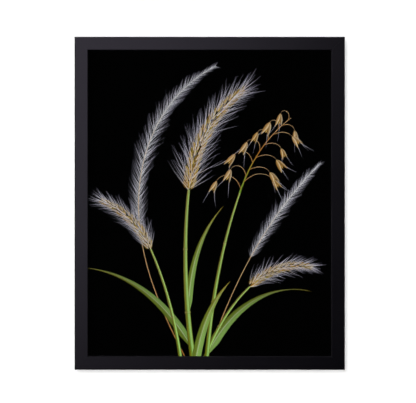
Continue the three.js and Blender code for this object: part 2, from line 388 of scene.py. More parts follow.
@dataclass(frozen=True)
class PigmentInk(LustrePaper):
    """Pigment ink, jetted on the same lustre paper. Each stroke's colours are in its mesh."""

    def colour(self, tree: bpy.types.NodeTree, mottle: bpy.types.Node) -> bpy.types.NodeSocket:
        """Builds the colour of the printed picture.

        Args:
            tree: The material's node tree.
            mottle: A pattern for what varies slowly over the sheet.

        Returns:
            The socket that gives the colour.
        """
        # The eye sees clean, saturated colours that lie under the paper's own sheen.
        drawn = add_node(tree, "VertexColor", layer_name="ink").outputs["Color"]
        depth = add_node(tree, "MapRange", {"Value": mottle, "To Min": 0.92, "To Max": 1.08})
        return add_node(tree, "VectorMath", {0: drawn, "Scale": depth}, operation="SCALE").outputs[0]


@dataclass(frozen=True)
class ScreenBackHardboard(Finish):
    """Brown hardboard, pressed wet on a wire screen that marks its back."""

    # Fibres are about 1 mm long and the screen's wires 1.6 mm apart. Both are drawn four times as
    # coarse to show.
    fibre: float = 3.5 * MM
    screen_pitch: float = 6.5 * MM
    screen_weight: float = 2.0  # How deep its marks are beside the fibres.
    cloud: float = 18 * MM

    def surface(self, tree: bpy.types.NodeTree) -> bpy.types.Node:
        """Builds the shader.

        Args:
            tree: The material's empty node tree.

        Returns:
            The shader node that the surface shows.
        """
        # The eye sees matted brown fibres that never shine, and the waffle that the screen left.
        at = add_node(tree, "TexCoord").outputs["Object"]
        matted = {"Vector": at, "Scale": 1 / self.fibre, "Detail": 5.0, "Distortion": 0.5}
        fibres = add_node(tree, "TexNoise", matted)
        clouds = add_node(tree, "TexNoise", {"Vector": at, "Scale": 1 / self.cloud, "Detail": 3.0})
        spread = {"From Min": 0.3, "From Max": 0.7}
        warm = add_node(tree, "MapRange", {"Value": clouds, **spread})
        flecks = add_node(tree, "MapRange", {"Value": fibres, **spread, "To Max": 0.6})
        rough = add_node(tree, "MapRange", {"Value": fibres, **spread, "To Min": 0.72, "To Max": 0.88})
        ground = add_node(
            tree, "Mix", {0: warm, 6: linear("#7d5735"), 7: linear("#89623c")}, data_type="RGBA"
        )
        colour = add_node(
            tree, "Mix", {0: flecks, 6: ground.outputs[2], 7: linear("#573a20")}, data_type="RGBA"
        )
        wires = {"Vector": at, "Scale": WAVE_PER_PITCH / self.screen_pitch}
        weft = add_node(tree, "TexWave", wires, bands_direction="X").outputs["Fac"]
        warp = add_node(tree, "TexWave", wires, bands_direction="Z").outputs["Fac"]
        screen = add_node(tree, "Math", {0: weft, 1: warp}, operation="MULTIPLY")
        both = {0: screen, 1: self.screen_weight, 2: fibres}
        height = add_node(tree, "Math", both, operation="MULTIPLY_ADD")
        relief = add_node(tree, "Bump", {"Height": height, "Distance": 0.5 * MM, "Strength": 0.7})
        return add_node(
            tree,
            "BsdfPrincipled",
            {"Base Color": colour.outputs[2], "Roughness": rough, "Normal": relief, "IOR": 1.5},
        )


@dataclass(frozen=True)
class RolledSteel(Finish):
    """Bright strip steel, cold-rolled and sheared to size."""

    # The rolls' streaks are 0.15 mm wide, and are drawn about three times as coarse to show.
    streak_width: float = 0.5 * MM
    streak_length: float = 8 * MM
    stain: float = 3 * MM

    def surface(self, tree: bpy.types.NodeTree) -> bpy.types.Node:
        """Builds the shader.

        Args:
            tree: The material's empty node tree.

        Returns:
            The shader node that the surface shows.
        """
        # The eye sees a grey metal, finely streaked one way, with a few dull stains.
        at = add_node(tree, "TexCoord").outputs["Object"]
        stretch = Vector((1, 1, self.streak_width / self.streak_length))
        along = add_node(tree, "Mapping", {"Vector": at, "Scale": stretch})
        streaks = add_node(
            tree, "TexNoise", {"Vector": along, "Scale": 1 / self.streak_width, "Detail": 2.0}
        )
        stains = add_node(tree, "TexNoise", {"Vector": at, "Scale": 1 / self.stain, "Detail": 3.0})
        stained = {"From Min": 0.5, "From Max": 0.75, "To Max": 0.6}
        dull = add_node(tree, "MapRange", {"Value": stains, **stained})
        colour = add_node(
            tree, "Mix", {0: dull, 6: linear("#c3c5c6"), 7: linear("#8f8b84")}, data_type="RGBA"
        )
        spread = {"From Min": 0.3, "From Max": 0.7, "To Min": 0.26, "To Max": 0.42}
        rough = add_node(tree, "MapRange", {"Value": streaks, **spread})
        relief = add_node(tree, "Bump", {"Height": streaks, "Distance": 0.01 * MM, "Strength": 0.4})
        return add_node(
            tree,
            "BsdfPrincipled",
            {"Base Color": colour.outputs[2], "Metallic": 1.0, "Roughness": rough, "Normal": relief},
        )


@dataclass(frozen=True)
class BrassPlate(Finish):
    """Brass, plated thinly on stamped steel and a little tarnished."""

    tarnish: float = 5 * MM
    # The die leaves marks 0.3 mm wide, which are drawn about three times as coarse to show.
    die_mark: float = 0.8 * MM

    def surface(self, tree: bpy.types.NodeTree) -> bpy.types.Node:
        """Builds the shader.

        Args:
            tree: The material's empty node tree.

        Returns:
            The shader node that the surface shows.
        """
        # The eye sees a soft yellow metal, with browner patches where fingers have been.
        at = add_node(tree, "TexCoord").outputs["Object"]
        patches = add_node(
            tree, "TexNoise", {"Vector": at, "Scale": 1 / self.tarnish, "Detail": 4.0}
        )
        marks = add_node(tree, "TexNoise", {"Vector": at, "Scale": 1 / self.die_mark, "Detail": 2.0})
        stained = {"From Min": 0.45, "From Max": 0.7, "To Max": 0.7}
        brown = add_node(tree, "MapRange", {"Value": patches, **stained})
        colour = add_node(
            tree, "Mix", {0: brown, 6: linear("#dcbb72"), 7: linear("#a87b3c")}, data_type="RGBA"
        )
        rough = add_node(tree, "MapRange", {"Value": patches, "To Min": 0.24, "To Max": 0.44})
        relief = add_node(tree, "Bump", {"Height": marks, "Distance": 0.02 * MM, "Strength": 0.3})
        return add_node(
            tree,
            "BsdfPrincipled",
            {"Base Color": colour.outputs[2], "Metallic": 1.0, "Roughness": rough, "Normal": relief},
        )


@dataclass(frozen=True)
class PressedFelt(Finish):
    """Black wool felt, pressed and punched into discs."""

    # Wool's matted fibres lie 0.25 mm apart, and are drawn three times as coarse to show.
    fibre: float = 0.8 * MM

    def surface(self, tree: bpy.types.NodeTree) -> bpy.types.Node:
        """Builds the shader.

        Args:
            tree: The material's empty node tree.

        Returns:
            The shader node that the surface shows.
        """
        # The eye sees a soft black that never shines, with fibres of slightly different greys.
        at = add_node(tree, "TexCoord").outputs["Object"]
        matted = {"Vector": at, "Scale": 1 / self.fibre, "Detail": 4.0, "Distortion": 2.0}
        fibres = add_node(tree, "TexNoise", matted)
        share = add_node(tree, "MapRange", {"Value": fibres, "From Min": 0.3, "From Max": 0.7})
        colour = add_node(
            tree, "Mix", {0: share, 6: linear("#141416"), 7: linear("#2b2b2e")}, data_type="RGBA"
        )
        relief = add_node(tree, "Bump", {"Height": fibres, "Distance": 0.15 * MM, "Strength": 0.9})
        nap = {"Roughness": 0.95, "Sheen Weight": 0.3}
        return add_node(
            tree, "BsdfPrincipled", {"Base Color": colour.outputs[2], "Normal": relief, **nap}
        )


@dataclass(frozen=True)
class StudioPaint(Finish):
    """Matt emulsion, rolled on the studio's wall and floor, with a painted glow that washes it to white
    away from the frame.

    Attributes:
        middle: The middle of what is painted, where there is no wash.
        code: The paint's colour.
        stipple: The pitch of the roller's texture.
        wash_from: How far from the middle the wash starts.
        wash_full: How far from it the wash is full.
        wash: How bright the painted glow is where it is full.
    """

    middle: tuple[float, float, float]
    code: str
    stipple: float = 6 * MM
    wash_from: float = 0.36
    wash_full: float = 0.45
    wash: float = 0.7

    def surface(self, tree: bpy.types.NodeTree) -> bpy.types.Node:
        """Builds the shader.

        Args:
            tree: The material's empty node tree.

        Returns:
            The shader node that the surface shows.
        """
        # The eye sees a pale ground with a roller's faint texture, which a painted glow burns out to
        # white further off.
        at = add_node(tree, "TexCoord").outputs["Object"]
        stipple = add_node(tree, "TexNoise", {"Vector": at, "Scale": 1 / self.stipple})
        relief = add_node(tree, "Bump", {"Height": stipple, "Distance": 0.1 * MM, "Strength": 0.2})
        paint = add_node(tree, "BsdfDiffuse", {"Color": linear(self.code), "Normal": relief})
        ends = {0: at, 1: self.middle}
        away = add_node(tree, "VectorMath", ends, operation="DISTANCE").outputs["Value"]
        reach = {"From Min": self.wash_from, "From Max": self.wash_full, "To Max": self.wash}
        wash = add_node(tree, "MapRange", {"Value": away, **reach}, interpolation_type="SMOOTHSTEP")
        # Painted glow: away from the frame the paint gives off light of its own, which no lamp gives.
        glow = add_node(tree, "Emission", {"Color": WHITE, "Strength": wash})
        front = add_node(tree, "AddShader", {0: paint, 1: glow})
        # From behind or below there is nothing to see, so that no view of the frame is blocked.
        behind = add_node(tree, "NewGeometry").outputs["Backfacing"]
        unseen = add_node(tree, "BsdfTransparent")
        return add_node(tree, "MixShader", {0: behind, 1: front, 2: unseen})


# ----------------------------------------------------------------------------------------- pieces


def add_object(name: str, data: bpy.types.ID) -> bpy.types.Object:
    """Puts a new object in the scene.

    Args:
        name: Its name.
        data: Its mesh, light or camera.

    Returns:
        The object.
    """
    made = bpy.data.objects.new(name, data)
    bpy.context.scene.collection.objects.link(made)
    return made


def add_piece(piece: bpy.types.Object, slot: Slot, *nodes: str) -> None:
    """Fits a finished piece to the frame and reports it.

    Args:
        piece: The object, in place.
        slot: The record's material slot for it. It is not used.
        nodes: The CAD nodes that it stands for.
    """
    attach(piece, BODY)
    if nodes:
        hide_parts(*nodes)
    replaced = ", ".join(nodes) or "nothing in the frame"
    log.info("%s: %d faces, in place of %s", piece.name, len(piece.data.polygons), replaced)


def eased_solid(node: str, name: str, ease: float) -> bpy.types.Object:
    """Makes a clean copy of a node's solid, with its sharp edges eased and its rounds shaded smooth.

    Args:
        node: The CAD node.
        name: The new object's name.
        ease: Width of the easing on each sharp edge, or 0 for none.

    Returns:
        The new object.
    """
    shape = bmesh.new()
    shape.from_mesh(frame["nodes"][node].data)
    bmesh.ops.remove_doubles(shape, verts=shape.verts, dist=SAME_POINT)
    bmesh.ops.dissolve_limit(shape, angle_limit=FLAT, verts=shape.verts, edges=shape.edges)
    bmesh.ops.recalc_face_normals(shape, faces=shape.faces)
    shape.verts.index_update()
    points = [vertex.co.copy() for vertex in shape.verts]
    faces = [[vertex.index for vertex in face.verts] for face in shape.faces]
    shape.free()
    mesh = bpy.data.meshes.new(name)
    mesh.from_pydata(points, [], faces)
    mesh.shade_smooth()
    mesh.set_sharp_from_angle(angle=SHARP)
    solid = add_object(name, mesh)
    if ease > 0:
        bevel = solid.modifiers.new("ease", "BEVEL")
        bevel.width = ease
        bevel.segments = 2
        bevel.limit_method = "ANGLE"
        bevel.angle_limit = SHARP
    even = solid.modifiers.new("even_shading", "WEIGHTED_NORMAL")
    even.keep_sharp = True
    evaluated = solid.evaluated_get(bpy.context.evaluated_depsgraph_get())
    solid.data = bpy.data.meshes.new_from_object(evaluated)
    solid.data.name = name
    solid.modifiers.clear()
    return solid


@dataclass
class Moulding:
    """The four mitred rails: black lacquer on the face and sides, bare wood behind.

    Attributes:
        lip_thickness: From the front face to the rabbet.
        outer_round: Radius of the front face's outer edge.
        sight_round: Radius of its inner edge.
        paint_reach: How far the lacquer runs round the outer back edge.
        slack: How far in front of the rabbet a face may still count as behind the lip.
        mitre_slack: How far off 45 degrees a mitre's normal may be, as a difference of its parts.
        arris_share: How much of a round counts as its arris.
        runs: Which way each side's wood runs.
    """

    lip_thickness: float = 8 * MM
    outer_round: float = 2 * MM
    sight_round: float = 0.9 * MM
    paint_reach: float = 0.7 * MM
    slack: float = 0.1 * MM
    mitre_slack: float = 0.1
    arris_share: float = 0.9
    runs: dict[str, Grain] = field(
        default_factory=lambda: {
            "top": Grain.ACROSS,
            "right": Grain.UPRIGHT,
            "bottom": Grain.ACROSS,
            "left": Grain.UPRIGHT,
        }
    )

    def __post_init__(self) -> None:
        """Reads the frame's outer size and the width of its face from the left rail."""
        low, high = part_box("rail_left")
        self.face_width = high.x - low.x
        self.front = low.y
        self.bottom = low.z
        self.top = high.z
        self.half_width = -low.x

    def inward(self, at: Vector) -> float:
        """Measures how far in from the frame's nearest outer side a point on a rail lies."""
        return min(self.half_width - abs(at.x), at.z - self.bottom, self.top - at.z)

    def is_bare(self, face: bpy.types.MeshPolygon) -> bool:
        """Finds whether a face was left bare: one behind the lip, but no outer side and no mitre.

        Args:
            face: A face of a rail.

        Returns:
            Whether it shows bare wood.
        """
        behind = face.center.y > self.front + self.lip_thickness - self.slack
        across, up = abs(face.normal.x), abs(face.normal.z)
        mitre = abs(across - up) < self.mitre_slack and across > 0.5
        return behind and not mitre and self.inward(face.center) > self.paint_reach

    def on_arris(self, at: Vector) -> bool:
        """Finds whether a point lies on a rounded front edge, outer or sight.

        Args:
            at: A point on a rail.

        Returns:
            Whether it lies well inside one of the two rounds.
        """
        inward = self.inward(at)
        depth = at.y - self.front
        outer = max(inward, depth) < self.arris_share * self.outer_round
        sight_edge = self.face_width - self.arris_share * self.sight_round
        return outer or (inward > sight_edge and depth < self.lip_thickness / 2)

    def build(self) -> None:
        """Builds and dresses the four rails."""
        for side, run in self.runs.items():
            rail = eased_solid(f"rail_{side}", f"moulding_{side}", 0)
            word = run.name.lower()
            rail.data.materials.append(SatinLacquer(f"satin_black_lacquer_{word}", run).material())
            rail.data.materials.append(RawObeche(f"planed_obeche_{word}", run).material())
            for face in rail.data.polygons:
                face.material_index = int(self.is_bare(face))
            arris = rail.data.attributes.new("arris", "FLOAT", "POINT")
            for vertex, share in zip(rail.data.vertices, arris.data):
                share.value = float(self.on_arris(vertex.co))
            add_piece(rail, Slot.MOULDING, f"rail_{side}")


@dataclass
class Fixings:
    """What holds the frame together and hangs it: V-nails, points, the hanger and its nails.

    Attributes:
        strip_ease: Easing on the edges of thin strip, as the shear leaves them.
        stamped_ease: Easing on the edges of the stamped hanger and the nails' heads.
    """

    strip_ease: float = 0.05 * MM
    stamped_ease: float = 0.15 * MM

    def build(self) -> None:
        """Builds and dresses each piece of metal."""
        steel = RolledSteel("cold_rolled_strip_steel").material()
        brass = BrassPlate("brass_plated_steel").material()
        for node in sorted(frame["nodes"]):
            if node.startswith(("v_nail", "framers_point")):
                self.build_one(node, self.strip_ease, steel, Slot.STEEL)
            elif node.startswith(("sawtooth", "hanger_nail")):
                self.build_one(node, self.stamped_ease, brass, Slot.BRASS)

    def build_one(self, node: str, ease: float, finish: bpy.types.Material, slot: Slot) -> None:
        """Builds and dresses one piece.

        Args:
            node: The CAD node that it stands for.
            ease: Easing on its edges.
            finish: Its material.
            slot: Its material slot.
        """
        piece = eased_solid(node, f"{node}_bright", ease)
        piece.data.materials.append(finish)
        add_piece(piece, slot, node)


@dataclass
class FeltBumpers:
    """The two felt discs that hold the lower corners off the wall.

    Attributes:
        rings: Rings of faces from the centre to the edge.
        spokes: Faces round each ring.
        layers: Rows of faces up the side.
        pinch: How much narrower the faces are than the middle, as a share.
        fray: How far the fibres make the edge stand in.
        crease: The angle in radians past which an edge looks sharp.
    """

    rings: int = 6
    spokes: int = 40
    layers: int = 5
    pinch: float = 0.06
    fray: float = 0.09 * MM
    crease: float = math.radians(50)

    def profile(self, radius: float, height: float) -> list[Point]:
        """Lists the disc's outline, from the middle of one face to the middle of the other.

        Args:
            radius: The disc's radius.
            height: Its thickness.

        Returns:
            Each point's radius and height.
        """
        face = [(radius * step / self.rings, 0.0) for step in range(self.rings)]
        side = []
        for step in range(self.layers + 1):
            up = step / self.layers
            side.append((radius * (1 - self.pinch * abs(2 * up - 1) ** 3), height * up))
        back = [(radius * step / self.rings, height) for step in reversed(range(self.rings))]
        return face + side + back

    def ring(self, radius: float, rng: random.Random) -> list[Point]:
        """Lists the points of one ring, from the disc's axis.

        Args:
            radius: The ring's radius, or 0 for the axis itself.
            rng: The source of the fray.

        Returns:
            The points.
        """
        if radius == 0:
            return [(0.0, 0.0)]
        turns = [math.tau * spoke / self.spokes for spoke in range(self.spokes)]
        reaches = [radius - rng.random() * self.fray for _ in turns]
        return [(reach * math.cos(turn), reach * math.sin(turn)) for reach, turn in zip(reaches, turns)]

    def disc(self, node: str) -> bpy.types.Mesh:
        """Builds one disc.

        Args:
            node: The CAD node that it stands for.

        Returns:
            Its mesh.
        """
        low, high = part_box(node)
        centre = (low + high) / 2
        rng = random.Random(node)
        shape = bmesh.new()
        rows = []
        for radius, height in self.profile((high.x - low.x) / 2, high.y - low.y):
            ring = self.ring(radius, rng)
            corners = [(centre.x + x, low.y + height, centre.z + z) for x, z in ring]
            rows.append([shape.verts.new(corner) for corner in corners])
        for inner, outer in zip(rows, rows[1:]):
            for spoke in range(self.spokes):
                after = (spoke + 1) % self.spokes
                corners = [inner[spoke % len(inner)], outer[spoke % len(outer)]]
                corners += [outer[after % len(outer)], inner[after % len(inner)]]
                shape.faces.new(dict.fromkeys(corners))
        bmesh.ops.recalc_face_normals(shape, faces=shape.faces)
        mesh = bpy.data.meshes.new(f"felt_{node}")
        shape.to_mesh(mesh)
        shape.free()
        mesh.shade_smooth()
        mesh.set_sharp_from_angle(angle=self.crease)
        return mesh

    def build(self) -> None:
        """Builds and dresses both discs."""
        felt = PressedFelt("pressed_wool_felt").material()
        for node in ("bumper_left", "bumper_right"):
            mesh = self.disc(node)
            mesh.materials.append(felt)
            add_piece(add_object(f"felt_{node}", mesh), Slot.FELT, node)


@dataclass
class Sheets:
    """The acrylic, the paper and the hardboard in the rabbet. Their solids show as they are.

    Attributes:
        finishes: Each sheet's finish.
    """

    finishes: dict[str, Finish] = field(
        default_factory=lambda: {
            "glazing": ClearAcrylic("polished_cast_acrylic"),
            "print": LustrePaper("lustre_photographic_paper"),
            "backing_board": ScreenBackHardboard("screen_back_hardboard"),
        }
    )

    def build(self) -> None:
        """Dresses the three sheets."""
        for node, finish in self.finishes.items():
            frame["nodes"][node].data.materials[0] = finish.material()
            log.info("%s: %s", node, finish.name)


# ------------------------------------------------------------------------------------ the picture

# On the sheet, lengths are in millimetres and angles in degrees, unless a comment says otherwise.
# The steps are how many straight pieces each kind of curve is drawn with.
COURSE_STEPS = 48
FINE_STEPS = 8 * COURSE_STEPS
HAIR_STEPS = 7
BRANCH_STEPS = 16
AWN_STEPS = 10
KNOT_STEPS = 6
GOLDEN_TURN = math.pi * (3 - math.sqrt(5))  # In radians. It spreads what grows round an axis evenly.
FOOT = -262  # The height where the stalks start, below the sheet's edge.


class Part(Enum):
    """What a stroke is part of. The value is the end of its piece's name."""

    STALK = "stalks"
    LEAF = "leaves"
    GRAIN = "grains"
    BRISTLE = "bristles"
    PLUME = "plumes"
    THREAD = "threads"


class Tone(Enum):
    """The picture's inks, as sRGB hex."""

    HAIR_ROOT = "#f1eaf0"
    HAIR_MID = "#c9bfce"
    HAIR_TIP = "#857c94"
    HAIR_SHADE = "#3a3546"
    AMBER = "#a2662a"
    STRAW = "#d3a97f"
    OCHRE = "#bd8219"
    OCHRE_DARK = "#4f3406"
    GRAIN_LIGHT = "#f3d690"
    CREAM = "#efe9d6"
    GREEN_LIGHT = "#a6cc72"
    GREEN = "#74932f"
    OLIVE = "#6f6e0a"
    OLIVE_DARK = "#2c2f06"

    @property
    def light(self) -> Colour:
        """The ink's colour in linear light."""
        return linear(self.value)


@dataclass(frozen=True)
class Spread:
    """A measure that varies from draw to draw.

    Attributes:
        least: Its least value.
        most: Its greatest value.
        dwindle: By what share it is smaller at the end of a course than at the start.
    """

    least: float
    most: float
    dwindle: float = 0.0

    def draw(self, rng: random.Random, share: float = 0.0) -> float:
        """Draws a value for a place on a course, which is at a share of 0 to 1 of its length."""
        return rng.uniform(self.least, self.most) * (1 - self.dwindle * share)


@dataclass(frozen=True)
class Stroke:
    """A ribbon or husk of ink.

    Attributes:
        part: What it is part of, which names its piece.
        depth: Where it comes in the order of painting. The lowest is painted first.
        rows: Rows of points from the picture's centre, each across the stroke.
        inks: A linear colour for each point.
    """

    part: Part
    depth: float
    rows: list[list[Point]]
    inks: list[list[Colour]]

    def trimmed(self, half_width: float, half_height: float) -> "Stroke":
        """Drops the rows that run off the sheet.

        Args:
            half_width: Half the sheet's width.
            half_height: Half its height.

        Returns:
            The stroke that is left.
        """
        kept = [
            place
            for place, row in enumerate(self.rows)
            if all(abs(x) < half_width and abs(y) < half_height for x, y in row)
        ]
        rows = [self.rows[place] for place in kept]
        inks = [self.inks[place] for place in kept]
        return Stroke(self.part, self.depth, rows, inks)


@dataclass(frozen=True)
class Course:
    """A curve on the sheet.

    Attributes:
        start: Its first point, from the picture's centre.
        heading: Its first direction, clockwise from straight up.
        length: Its length.
        bend: How far it turns in all, clockwise.
        gather: Above 1, most of the turn comes late. Below 1, most comes early.
    """

    start: Point
    heading: float
    length: float
    bend: float
    gather: float = 1.0

    def trace(self, steps: int) -> list[tuple[float, float, float]]:
        """Walks along the curve.

        Args:
            steps: Into how many steps it is divided.

        Returns:
            At each end of a step, x, y and the direction in radians.
        """
        x, y = self.start
        found = [(x, y, math.radians(self.heading))]
        for step in range(steps):
            middle = ((step + 0.5) / steps) ** self.gather
            way = math.radians(self.heading + self.bend * middle)
            x += math.sin(way) * self.length / steps
            y += math.cos(way) * self.length / steps
            turned = math.radians(self.heading + self.bend * ((step + 1) / steps) ** self.gather)
            found.append((x, y, turned))
        return found

    def beyond(self, length: float, bend: float, gather: float = 1.0) -> "Course":
        """Carries the curve on from its end, by a stretch that is given as the curve itself is."""
        return self.branch(1.0, 0.0, length, bend, gather)

    def branch(
        self, share: float, lean: float, length: float, bend: float, gather: float = 1.0
    ) -> "Course":
        """Starts another curve at a share of this one's length, turned clockwise by the lean."""
        x, y, way = self.trace(COURSE_STEPS)[round(share * COURSE_STEPS)]
        return Course((x, y), math.degrees(way) + lean, length, bend, gather)


def beside(x: float, y: float, way: float, off: float) -> Point:
    """Finds the point that lies off to the right of a course at x, y, whose way is in radians."""
    return (x + math.cos(way) * off, y - math.sin(way) * off)


def arched(share: float, fullness: float) -> float:
    """Finds the height of an arch that spans shares 0 to 1, and is fuller for a lower fullness."""
    return math.sin(math.pi * min(1.0, share)) ** fullness


def silk(root: Colour, bright: float) -> Inks:
    """Picks the inks of a silky hair.

    Args:
        root: Its colour at the root in full light.
        bright: How well it is lit, from 0 to 1.

    Returns:
        Its colours at the root, the middle and the tip.
    """
    shade = Tone.HAIR_SHADE.light
    middle, tip = Tone.HAIR_MID.light, Tone.HAIR_TIP.light
    return (blend(shade, root, bright), blend(shade, middle, bright), blend(shade, tip, bright))


@dataclass(frozen=True)
class Hair:
    """A tapering hair, thread or branch.

    Attributes:
        course: Where it runs.
        width: Its width at the root.
        inks: Its colours at the root, the middle and the tip.
        steps: Into how many steps it is divided.
        taper: By what share the tip is narrower than the root.
    """

    course: Course
    width: float
    inks: Inks
    steps: int = HAIR_STEPS
    taper: float = 0.8

    def stroke(self, part: Part, depth: float) -> Stroke:
        """Draws the hair.

        Args:
            part: What it is part of.
            depth: Its place in the order of painting.

        Returns:
            The stroke.
        """
        rows, colours = [], []
        for step, (x, y, way) in enumerate(self.course.trace(self.steps)):
            share = step / self.steps
            half = self.width / 2 * (1 - self.taper * share)
            rows.append([beside(x, y, way, -half), beside(x, y, way, half)])
            early = blend(self.inks[0], self.inks[1], min(1.0, 2 * share))
            colours.append([blend(early, self.inks[2], max(0.0, 2 * share - 1))] * 2)
        return Stroke(part, depth, rows, colours)


@dataclass(frozen=True)
class Husk:
    """A pointed, domed husk, lit from the right.

    Attributes:
        root: Its foot.
        way: Its direction in radians.
        long: Its length.
        wide: Its width.
        inks: Its colours on the shaded side, on the body and at the lit rim.
        light: How bright it is.
        rows: Rows of faces along it.
        columns: Columns of faces across it.
        least: Its least width as a share. It never closes to nothing, so its faces stay sound.
        belly: Below 1, it is widest below its middle.
        fullness: Below 1, its outline is fuller than an arch.
        dark: How lit its shaded edge is.
        contrast: How fast the light grows across it.
        rim: How strong the lit rim is, at the foot and at the tip.
    """

    root: Point
    way: float
    long: float
    wide: float
    inks: Inks
    light: float
    rows: int = 6
    columns: int = 4
    least: float = 0.06
    belly: float = 0.75
    fullness: float = 0.8
    dark: float = 0.15
    contrast: float = 1.3
    rim: tuple[float, float] = (0.68, 1.7)

    def stroke(self, depth: float) -> Stroke:
        """Draws the husk.

        Args:
            depth: Its place in the order of painting.

        Returns:
            The stroke.
        """
        rows, colours = [], []
        for step in range(self.rows + 1):
            up = step / self.rows
            half = self.wide / 2 * max(self.least, arched(up**self.belly, self.fullness))
            x = self.root[0] + math.sin(self.way) * self.long * up
            y = self.root[1] + math.cos(self.way) * self.long * up
            rim = between(*self.rim, up)
            row, tones = [], []
            for column in range(self.columns + 1):
                off = 2 * column / self.columns - 1
                row.append(beside(x, y, self.way, off * half))
                glow = 0.5 + 0.5 * off * math.cos(self.way)
                ink = blend(self.inks[0], self.inks[1], min(1.0, self.dark + self.contrast * glow))
                ink = blend(ink, self.inks[2], max(0.0, glow - 0.5) * rim)
                tones.append(blend(BLACK, ink, self.light))
            rows.append(row)
            colours.append(tones)
        return Stroke(Part.GRAIN, depth, rows, colours)


# Across a stalk, from its left edge at -1 to its right edge at 1.
STALK_TONES = {
    -1.0: Tone.OLIVE_DARK,
    -0.75: Tone.OLIVE,
    -0.4: Tone.OLIVE,
    -0.1: Tone.GREEN,
    0.2: Tone.GREEN_LIGHT,
    0.6: Tone.GREEN_LIGHT,
    0.85: Tone.GREEN,
    1.0: Tone.OLIVE,
}


@dataclass(frozen=True)
class Stalk:
    """A round stalk, lit from the right.

    Attributes:
        course: Where it runs.
        foot: Its width at the foot.
        head: Its width at the head.
        depth: Its place in the order of painting.
        knots: Where it has joints, as shares of its length.
        knot_reach: Half a joint's length.
        knot_swell: How much wider a joint is at its middle, as a share.
        knot_brown: How much browner a joint is.
        knot_rim: How much darker its two rims are.
        knot_over: How much later a joint is painted than the stalk.
        yellowing: How much yellower the stalk is at its head.
        streaks: How bright its streaks are.
    """

    course: Course
    foot: float
    head: float
    depth: float
    knots: tuple[float, ...] = ()
    knot_reach: float = 1.6
    knot_swell: float = 0.22
    knot_brown: float = 0.2
    knot_rim: float = 0.55
    knot_over: float = 0.15
    yellowing: float = 0.18
    streaks: Spread = Spread(0.85, 1.1)

    def strokes(self, rng: random.Random) -> Iterator[Stroke]:
        """Draws the stalk.

        Args:
            rng: The source of its small streaks.

        Yields:
            The stalk, then its joints.
        """
        yield self.stretch(0.0, 1.0, COURSE_STEPS, self.depth, rng, knot=0.0)
        reach = self.knot_reach / self.course.length
        depth = self.depth + self.knot_over
        for knot in self.knots:
            yield self.stretch(knot - reach, knot + reach, KNOT_STEPS, depth, rng, knot=1.0)

    def stretch(
        self, start: float, end: float, steps: int, depth: float, rng: random.Random, knot: float
    ) -> Stroke:
        """Draws a stretch of the stalk.

        Args:
            start: Where it starts, as a share of the stalk's length.
            end: Where it ends.
            steps: Into how many steps it is divided.
            depth: Its place in the order of painting.
            rng: The source of its small streaks.
            knot: 1 for a swollen, browner joint, and 0 for plain stalk.

        Returns:
            The stroke.
        """
        streaks = [self.streaks.draw(rng) for _ in STALK_TONES]
        fine = self.course.trace(FINE_STEPS)
        rows, inks = [], []
        for step in range(steps + 1):
            share = start + (end - start) * step / steps
            x, y, way = fine[round(share * FINE_STEPS)]
            bulge = knot * math.sin(math.pi * step / steps)
            half = between(self.foot, self.head, share) / 2 * (1 + self.knot_swell * bulge)
            rows.append([beside(x, y, way, off * half) for off in STALK_TONES])
            straw = self.yellowing * share + self.knot_brown * knot
            rim = 1 - self.knot_rim * knot * (1 - bulge)
            inks.append(
                [
                    blend(BLACK, blend(tone.light, Tone.STRAW.light, straw), streak * rim)
                    for tone, streak in zip(STALK_TONES.values(), streaks)
                ]
            )
        return Stroke(Part.STALK, depth, rows, inks)


